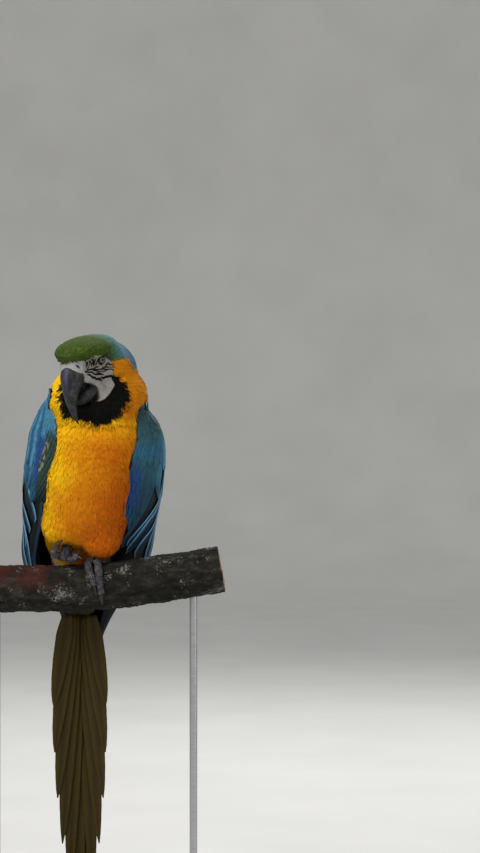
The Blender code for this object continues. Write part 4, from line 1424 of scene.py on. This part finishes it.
def bill_section(points, narrows):
    """Sideways and upward reach of a squarish ring that is narrower at the ridge."""
    a = 2 * math.pi * (np.arange(points) + 0.5) / points
    c, s = np.cos(a), np.sin(a)
    squared = (np.abs(c) ** 2.6 + np.abs(s) ** 2.6) ** (-1 / 2.6)
    narrowed = 1 - narrows * np.maximum(s, 0) ** 1.5
    return c * squared * narrowed, s * squared


def bill_half(name, ridge, edge, widths, narrows, material, rings=64, points=40):
    """One half of the bill, with faint growth lines."""
    t = np.linspace(BILL_ROOT, 1, rings)
    middle, half = bill_profile(ridge, edge, t)
    sideways, upwards = bill_section(points, narrows)
    lines = 1 + 0.006 * np.sin(t * 70) + 0.004 * np.sin(t * 163 + 1)
    width = read(dense(widths, 0.01), t)[0] * lines
    grid = middle[:, None] + half[:, None] * upwards[None, :, None]
    place = from_head(grid[..., 0], width[:, None] * sideways, grid[..., 1])
    obj = mesh_object(name, place.reshape(-1, 3), *tubes(1, rings, points), material, "bill")
    bm = bmesh.new()
    bm.from_mesh(obj.data)
    bmesh.ops.recalc_face_normals(bm, faces=bm.faces)
    bm.to_mesh(obj.data)
    bm.free()
    obj.data.shade_smooth()
    return obj


def horn_material():
    """Dark horn with a violet cast along the ridge, fine growth lines, and lighter grey patches and flecks.
    """
    n = Nodes("bill_horn")
    place = n.place()
    grey_patches = n.noise(n.place(400, 400, 60), 1.0, 4, 0.6)
    colour = n.times(n.tint(), n.ramp(n.noise(place, 90, 4), (0.3, 0.72), (0.7, 1.3)))
    # Lighter grey patches and flecks over the dark horn.
    colour = n.cover(colour, rgb(112, 110, 108), n.ramp(grey_patches, (0.5, 0.0), (0.72, 1.0)), 0.2)
    grey_flecks = n.ramp(n.noise(place, 70, 5, 0.65), (0.52, 0.0), (0.66, 1.0))
    colour = n.cover(colour, rgb(104, 103, 102), grey_flecks, 0.24)
    roughness = n.ramp(grey_patches, (0.3, 0.42), (0.75, 0.6))
    n.set(Base_Color=colour, Roughness=roughness, Specular_IOR_Level=0.3)
    n.bump(grey_patches, 0.2, 0.15)
    return n.material


def make_bill():
    horn = horn_material()
    upper = bill_half("bill_upper_horn", CULMEN, UPPER_EDGE, UPPER_WIDTH, UPPER_NARROWS, horn)
    lower = bill_half("bill_lower_horn", LOWER_KEEL, LOWER_EDGE, LOWER_WIDTH, LOWER_NARROWS, horn, 40)
    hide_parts("bill_upper")
    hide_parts("bill_lower")
    dark = rgb(24, 23, 25)
    _, l, u = in_head(points_of(upper.data))
    set_tint(upper.data, blend(dark, rgb(50, 44, 70), ease(6, 2, np.abs(l)) * ease(-45, -8, u)))
    set_tint(lower.data, dark * 0.4)
    return [upper, lower]


# ---- eyes -------------------------------------------------------------------------------------


EYE_RADIUS = 7.0


def eye_material():
    """A black pupil, a pale iris and a dark rim, told by distance from the gaze, all finely mottled."""
    n = Nodes("eye")
    x, y, _ = n.parts(n.place())
    square = n.math("ADD", n.math("MULTIPLY", x, x), n.math("MULTIPLY", y, y))
    radius = n.math("MULTIPLY", n.math("SQRT", square), 1000 / EYE_RADIUS)
    colour = n.ramp(
        radius, (0.0, rgb(3, 3, 3)), (0.265, rgb(3, 3, 3)), (0.3, rgb(100, 100, 80)),
        (0.35, rgb(136, 138, 116)), (0.43, rgb(144, 146, 124)), (0.47, rgb(24, 22, 20)),
        (1.0, rgb(12, 11, 10)),
    )
    colour = n.times(colour, n.ramp(n.noise(n.place(), 900), (0.3, 0.8), (0.7, 1.1)))
    n.set(Base_Color=colour, Roughness=0.12, Specular_IOR_Level=0.2)
    return n.material


def make_eyes():
    glass = eye_material()
    lid = streaked(
        "eyelid", (), 700, 4, (0.3, rgb(16, 15, 14)), (0.7, rgb(40, 38, 35)), (0.4, 0.2),
        Roughness=0.6, Specular_IOR_Level=0.2,
    )
    made = []
    for side, label in SIDES.items():
        gaze = Vector(gaze_of(side))
        turn = gaze.to_track_quat("Z", "Y").to_matrix().to_4x4()
        bm = bmesh.new()
        bmesh.ops.create_uvsphere(bm, u_segments=40, v_segments=28, radius=EYE_RADIUS * MM)
        for vert in bm.verts:
            r = math.hypot(vert.co.x, vert.co.y) / MM
            if vert.co.z > 0:  # the front bulges a little
                vert.co.z += 0.5 * MM * math.exp(-((r / 3.2) ** 2))
        mesh = mesh_from(bm, f"eyeball_{label}")
        mesh.shade_smooth()
        obj = finished(f"eyeball_{label}", mesh, glass)
        obj.matrix_world = Matrix.Translation(Vector(EYES[side]) * MM) @ turn
        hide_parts(f"eye_{label}")
        made += [obj, make_lids(side, lid)]
    return made


def round_eye(side, angles):
    """Directions across an eye's gaze at the given angles, and the gaze."""
    gaze = gaze_of(side)
    right = unit(np.cross(gaze, UP))
    return np.outer(np.cos(angles), right) + np.outer(np.sin(angles), np.cross(right, gaze)), gaze


def make_lids(side, lid):
    """Lids: a soft oval rim that lies on the eyeball."""
    around, section = 64, 12
    a = np.linspace(0, 2 * math.pi, around, endpoint=False)
    b = np.linspace(0, 2 * math.pi, section, endpoint=False)[:, None]
    outward, axis = round_eye(side, a)
    outward = unit(outward)
    rim = EYES[side] + axis * 6.1 + outward * (3.45 + 0.2 * np.cos(2 * a))[:, None]
    grid = rim[:, None] + (0.42 * np.cos(b) * outward[:, None] + 0.45 * np.sin(b) * axis)
    k = np.arange(around)[:, None]
    j = np.arange(section)[None]
    k2, j2 = (k + 1) % around, (j + 1) % section
    quads = np.stack([k * section + j, k * section + j2, k2 * section + j2, k2 * section + j], -1)
    return mesh_object(f"eyelids_{SIDES[side]}", grid.reshape(-1, 3), quads.reshape(-1),
                       np.arange(0, quads.size, 4), lid, "eye")


# ---- feather lines on the face ----------------------------------------------------------------

# Rows of tiny black feathers on the bare skin: half width, then forward and up along each row.
FACE_ROWS = [
    (0.75, [(33, -8), (28, -7.5), (16.5, -8), (11, -10.5), (-2, -12), (-4.5, -13.5), (-11, -14.5),
            (-13, -16)]),
    (0.7, [(-2, -12), (-8.5, -6.5), (-9.5, -8.5), (-12, -9)]),
    (0.65, [(-1, -16.5), (-4.5, -15.5)]),
    (0.8, [(33, -8.5), (20.5, -11.5), (16.5, -14.5), (11, -17), (4.5, -17.5), (-2, -19.5)]),
    (0.6, [(13, -14), (2, -17)]),
    (1.15, [(29, -12), (25, -14), (22.5, -17.5), (14.5, -20), (11.5, -22.5), (6.5, -24), (3.5, -26)]),
    (0.6, [(7.5, -21), (4, -23), (3, -25)]),
    (1.35, [(1.5, -21.5), (-1.5, -24.5), (-5.5, -23.5), (-11.5, -23.5), (-13, -26.5), (-13.5, -32)]),
    (0.65, [(30.5, 5), (26, 1), (28, -2)]),
    (0.55, [(25, 4.5), (24, -1.5)]),
    (0.7, [(24, 5), (18, 0.5), (18, -3.5)]),
    (0.55, [(22.5, 6.5), (16, 2.5), (16, -0.5)]),
    (0.7, [(20.5, 7), (12.5, 1), (14.5, -3.5)]),
    (0.6, [(13.5, 5.5), (12, 1.5), (12.5, -2)]),
    (0.7, [(6, 4.5), (8, 0), (10.5, -4)]),
    (0.55, [(22.5, -4), (26.5, -5.5)]),
    (0.5, [(27.5, 6.5), (25.5, 3.5), (26, 1)]),
    (0.5, [(22, 6), (20.5, 2.5), (21, -1)]),
    (0.5, [(17.5, 5.5), (14.5, 1.5), (15, -2)]),
    (0.5, [(19, -9), (5, -14), (0, -14.5)]),
    (0.5, [(1, -9.5), (-11, -12)]),
    (0.55, [(15.5, -6.5), (7.5, -7.5)]),
]


def eye_ring():
    """The narrow ring of tiny feathers round the back of the eye, as one row like the others."""
    outward, gaze = round_eye(1, np.radians(np.linspace(110, 290, 14)))
    f, _, u = in_head(EYES[1] + gaze * 5 + 5.5 * outward)
    return 0.2, np.stack([f, u], 1)


def drawn_row(surface, line, side):
    """Close points on the skin along one row of face feathers."""
    line = np.array(line, float)
    at = np.concatenate([[0], np.cumsum(np.linalg.norm(np.diff(line, axis=0), axis=1))])
    where = np.linspace(0, at[-1], max(4, int(at[-1] / 0.65)))
    drawn = np.stack([np.interp(where, at, line[:, i]) for i in range(2)], 1)
    for _ in range(3):
        drawn[1:-1] = (drawn[:-2] + drawn[2:] + 2 * drawn[1:-1]) / 4
    return np.array([surface.beside(f, u, side) for f, u in drawn])


def make_face_rows(surface, material):
    """Short dark feathers set close along each row, on both sides of the face."""
    rng = np.random.default_rng(77)
    roots, heading, wide = [], [], []
    for side, (breadth, line) in itertools.product(SIDES, [*FACE_ROWS, eye_ring()]):
        points = drawn_row(surface, line, side)
        roots.append(points)
        heading.append(unit(np.gradient(points, axis=0)))
        wide.append(breadth * 1.35 * (1 - 0.45 * np.abs(np.linspace(-1, 1, len(points))) ** 3))
    roots, heading, wide = np.concatenate(roots), np.concatenate(heading), np.concatenate(wide)
    roots = roots + rng.normal(0, 0.1, roots.shape)
    nearest = [surface.tree.find_nearest(Vector(p)) for p in roots]
    on_skin, normals = (np.array([found[i] for found in nearest]) for i in range(2))
    n, rows = len(on_skin), 4
    lengths = rng.uniform(1.9, 2.7, n)
    path, out, along = surface.comb(on_skin, normals, heading + rng.normal(0, 0.14, (n, 3)), lengths, rows)
    t = np.linspace(0, 1, rows)
    middle = path + out * ((0.15 + 0.4 * t) * rng.uniform(0.7, 1.2, (n, 1)))[..., None]
    across = unit(np.cross(along, out))
    widths = wide[:, None] * np.interp(t, [0, 0.4, 0.8, 1], [0.7, 1, 0.8, 0.3])
    s = np.array([-1, 0, 1.0])
    top = middle[:, :, None] + across[:, :, None] * (widths[..., None] * s)[..., None]
    under = middle[:, :, None] - out[:, :, None] * 0.2
    tint = rgb(15, 15, 13) * rng.uniform(0.7, 1.5, (n, 1, 1, 1)) * np.ones((1, rows, 3, 1))
    return vanes("face_feathers", top, under, tint, material, "crown_feathers", unwrap(on_skin),
                 np.stack([wide, lengths], 1))


# ---- feet -------------------------------------------------------------------------------------


def scale_material():
    """Scaly grey skin of the feet: small pale-centred plates parted by dark creases."""
    n = Nodes("foot_scales")
    place = n.place()
    edge = n.cells(place, 430, "DISTANCE_TO_EDGE")
    colour = n.ramp(
        n.noise(place, 150, 4), (0.3, rgb(52, 50, 56)), (0.5, rgb(86, 83, 90)), (0.72, rgb(136, 133, 136)))
    colour = n.times(colour, n.ramp(n.cells(place, 430), (0.0, 1.3), (0.6, 0.6)))
    colour = n.mix(colour, rgb(17, 15, 18), n.ramp(edge, (0.0, 1.0), (0.2, 0.0)))
    n.set(Base_Color=colour, Roughness=0.62, Specular_IOR_Level=0.3)
    n.bump(n.ramp(edge, (0.0, 0.0), (0.3, 1.0)), 0.8, 0.6)
    return n.material


def lean_toes(p):
    """Leans the standing foot's front toes towards the bird's left as they pass down round the perch."""
    inner, outer = middle_of("left_toe_inner_front"), middle_of("left_toe_outer_front")
    near_inner = ease(0.6, 0.4, (p[:, 0] - inner[0]) / (outer[0] - inner[0]))
    lean = np.interp(p[:, 2], [496, 510, 530, 552, 560], [12.0, 10.5, 6.0, -1.5, 0.0]) * near_inner
    lean += np.interp(p[:, 2], [496, 552], [1.5, 0.0]) * (1 - near_inner)
    p = p.copy()
    p[:, 0] += lean * ease(4, -8, p[:, 1])
    return p


def scutes(p, normal):
    """Moves the skin of a foot: it is thicker over the perch's front, and scutes cross the toes."""
    round_perch = np.arctan2(-p[:, 1], p[:, 2] - 521)
    plates = np.abs(np.sin(round_perch * 31 / 2.1 * math.pi / 2))
    bumps = 0.22 * plates + 0.12 * value_noise(p, 1.6, 4)
    thick = 0.9 * ease(0, -12, p[:, 1]) * ease(556, 546, p[:, 2])
    return p + normal * (bumps - 0.25 + thick)[:, None]


def make_feet():
    scales = scale_material()
    horn = streaked(
        "claw_horn", (), 600, 3, (0.3, rgb(7, 7, 7)), (0.75, rgb(26, 24, 24)), (0.15, 0.1), Roughness=0.34)
    made = []
    for side in SIDES.values():
        toes = [f"{side}_toe_{a}_{b}" for a in ("inner", "outer") for b in ("front", "back")]
        for kind, nodes, grow, voxel, material, slot in (
            ("foot", [f"leg_{side}", *toes], 0.25, 0.7, scales, "foot"),
            ("claws", [t.replace("toe", "claw") for t in toes], 0.0, 0.45, horn, "claw"),
        ):
            mesh = remeshed(f"{kind}_{side}", welded(nodes, grow), voxel, 4)
            if kind == "foot":
                set_points(mesh, scutes(points_of(mesh), normals_of(mesh)))
            if side == "left":
                set_points(mesh, lean_toes(points_of(mesh)))
            mesh.shade_smooth()
            obj = finished(f"{kind}_{side}", mesh, material)
            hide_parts(*nodes)
            made.append(obj)
    return made


# ---- perch and stand --------------------------------------------------------------------------


def bark_material():
    """Rough dark bark with fissures, a maroon cast by the left end's top, and specks of pale lichen."""
    n = Nodes("bark")
    place = n.place()
    x, _, z = n.parts(place)
    grain = n.noise(n.place(60, 90, 90), 1.0, 7, 0.68)
    colour = n.ramp(grain, (0.3, rgb(15, 14, 12)), (0.52, rgb(34, 32, 28)), (0.75, rgb(62, 58, 51)))
    left_end = n.ramp(n.mix(x, n.noise(place, 30), 0.12), (0.0, 1.0), (0.02, 0.0))
    red = n.times(n.ramp(n.noise(place, 26, 4), (0.36, 0.0), (0.5, 1.0)), left_end)
    red = n.times(red, n.ramp(z, (0.515, 0.0), (0.53, 1.0)))
    colour = n.cover(colour, rgb(70, 34, 28), red, 0.6)
    flakes = n.noise(place, 330, 5, 0.75)
    lichen = n.ramp(n.math("MULTIPLY", flakes, n.noise(place, 38)), (0.315, 0.0), (0.37, 1.0))
    pale = n.ramp(n.noise(place, 160, 5, 0.6), (0.3, rgb(70, 72, 66)), (0.7, rgb(138, 138, 130)))
    colour = n.cover(colour, pale, lichen, 0.8)
    n.set(Base_Color=colour, Roughness=0.95, Specular_IOR_Level=0.1)
    n.bump(n.mix(grain, flakes, 0.4), 0.8, 1.8)
    return n.material


def end_material():
    """The sawn ends: pale brown wood with growth rings."""
    n = Nodes("sawn_end")
    rings = n.add(
        "ShaderNodeTexWave", {"Vector": n.place(0, 1, 1, shift=(0, 0, -0.53))}, wave_type="RINGS",
        rings_direction="X", in_Scale=110, in_Distortion=2.5, in_Detail=3.0,
    ).outputs["Fac"]
    colour = n.ramp(rings, (0.0, rgb(112, 84, 56)), (1.0, rgb(164, 132, 94)))
    n.set(Base_Color=colour, Roughness=0.85)
    n.bump(rings, 0.3, 0.4)
    return n.material


# The height of the branch's middle: x and height.
BRANCH = np.array([(-165, 520), (-97, 519.5), (6, 521.5), (71, 530), (110, 535.5), (165, 545)])


def make_perch():
    mesh = remeshed("perch_bark", welded(["perch"]), 1.8, 2)
    p, normal = points_of(mesh), normals_of(mesh)
    above = p[:, 2] - np.interp(p[:, 0], BRANCH[:, 0], BRANCH[:, 1])
    bark = np.hypot(p[:, 1], above) > 26
    angle = np.arctan2(p[:, 1], above)
    lined = np.stack([p[:, 0] * 0.22, angle * 24, np.zeros(len(p))], 1)
    rough = 0.8 * value_noise(lined, 3.4, 1) + 0.9 * value_noise(p, 2.4, 2) + 1.2 * value_noise(p, 12, 3)
    crack = -1.6 * ease(0.55, 0.85, np.abs(value_noise(lined, 7.0, 8)))
    offset = np.minimum(rough + crack - 0.6, 0.9) * bark
    near_feet = ease(30, 12, np.abs(p[:, 0] + 2)) * ease(0, 10, above)
    offset = np.where(near_feet > 0.5, np.minimum(offset, 0.0), offset)
    sawn = 0.5 * value_noise(p, 5, 6) * (np.abs(normal[:, 0]) > 0.8)
    p = p + normal * offset[:, None]
    low, high = (corner[0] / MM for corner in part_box("perch"))
    p[:, 0] = np.clip(p[:, 0] - np.sign(p[:, 0]) * np.abs(sawn), low, high)
    set_points(mesh, p)
    mesh.shade_smooth()
    obj = finished("perch_bark", mesh, bark_material())
    mesh.materials.append(end_material())
    x, y, z = read_array(mesh.polygons, "center", 3).T / MM
    ends = (np.abs(read_array(mesh.polygons, "normal", 3)[:, 0]) > 0.75) & (np.abs(x) > 158)
    ends &= np.hypot(y, z - np.where(x > 0, BRANCH[-1, 1], BRANCH[0, 1])) < 27.5
    mesh.polygons.foreach_set("material_index", ends.astype(np.int32))
    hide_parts("perch")
    return obj


def dress_stand():
    wood = streaked(
        "stand_wood", (6, 60, 60), 1.0, 6, (0.3, rgb(34, 26, 21)), (0.7, rgb(66, 50, 38)), (0.12, 0.3),
        rough=0.6, Roughness=((0.3, 0.38), (0.7, 0.5)),
    )
    steel = streaked(
        "brushed_steel", (40, 40, 2600), 1.0, 3, (0.3, rgb(150, 150, 152)), (0.7, rgb(196, 196, 198)),
        (0.08, 0.05), Roughness=((0.3, 0.26), (0.7, 0.42)), Metallic=1.0,
    )
    for node, material in (("stand_base", wood), ("stand_rod_left", steel), ("stand_rod_right", steel)):
        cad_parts[node].material_slots[0].material = material


# ---- stage ------------------------------------------------------------------------------------


def make_stage():
    """A pale floor that curves up into a pale wall far away, soft lights and the camera."""
    profile = [(0.5 * k, 0.0) for k in range(1, 14)]
    profile += [(6.5 + 2 * math.sin(a), 2 - 2 * math.cos(a)) for a in np.linspace(0.1, math.pi / 2, 12)]
    profile += [(8.5, 4.0), (8.5, 7.0)]
    turns = np.linspace(0, 2 * math.pi, 72, endpoint=False)
    bm = bmesh.new()
    rings = [[bm.verts.new((r * math.cos(a), r * math.sin(a), h)) for a in turns] for r, h in profile]
    bm.faces.new(rings[0])
    for low, high in zip(rings, rings[1:]):
        for i in range(len(low)):
            j = (i + 1) % len(low)
            bm.faces.new((low[j], low[i], high[i], high[j]))
    mesh = mesh_from(bm, "floor")
    mesh.shade_smooth()
    floor = added("floor", mesh)
    n = Nodes("studio_floor")
    shade = n.ramp(n.noise(n.place(), 3, 2), (0.3, rgb(206, 205, 202)), (0.7, rgb(212, 211, 208)))
    n.set(Base_Color=shade, Roughness=0.9)
    mesh.materials.append(n.material)

    world = bpy.data.worlds.new("studio")
    bpy.context.scene.world = world
    world.use_nodes = True
    sky = world.node_tree.nodes["Background"]
    sky.inputs["Color"].default_value = (0.96, 0.98, 1.0, 1)
    sky.inputs["Strength"].default_value = 0.62
    for name, place, size, power, colour in (
        ("key", (-1.9, -2.6, 2.9), 2.4, 130, (1.0, 0.98, 0.95)),
        ("fill", (2.8, -2.2, 1.2), 2.4, 24, (0.94, 0.97, 1.0)),
        ("rim", (0.8, 2.4, 2.6), 2.0, 60, (1.0, 1.0, 1.0)),
    ):
        light = bpy.data.lights.new(name, "AREA")
        light.size = size
        light.energy = power
        light.color = colour
        obj = added(name, light)
        obj.location = place
        aim = Vector((0, 0, 0.62)) - Vector(place)
        obj.rotation_euler = aim.to_track_quat("-Z", "Y").to_euler()

    camera = bpy.data.cameras.new("camera")
    camera.lens = 97.4
    camera.sensor_width = 36
    obj = added("camera", camera)
    obj.location = (0.1885, -3.0, 0.73)
    obj.rotation_euler = (math.pi / 2, 0, 0)
    bpy.context.scene.camera = obj
    bpy.context.scene.view_settings.view_transform = "Standard"


# ---- all of it --------------------------------------------------------------------------------


def main():
    skin = make_skin()
    surface = Surface(skin.data)
    coat = make_coat(surface)
    coat.append(make_face_rows(surface, feather_material("face_feather_vanes", 0.7, 0.05)))
    coverts = feather_material("wing_covert_vanes", 0.55, 0.08)
    flight = feather_material("flight_vanes", 0.5, 0.08)
    wings = make_wing(1, coverts, flight) + make_wing(-1, coverts, flight)
    others = make_tail(flight) + make_bill() + make_eyes() + make_feet()
    make_perch()
    dress_stand()
    make_stage()
    for obj in [skin, *coat, *wings, *others]:
        print("piece", obj.name, triangles(obj))


main()
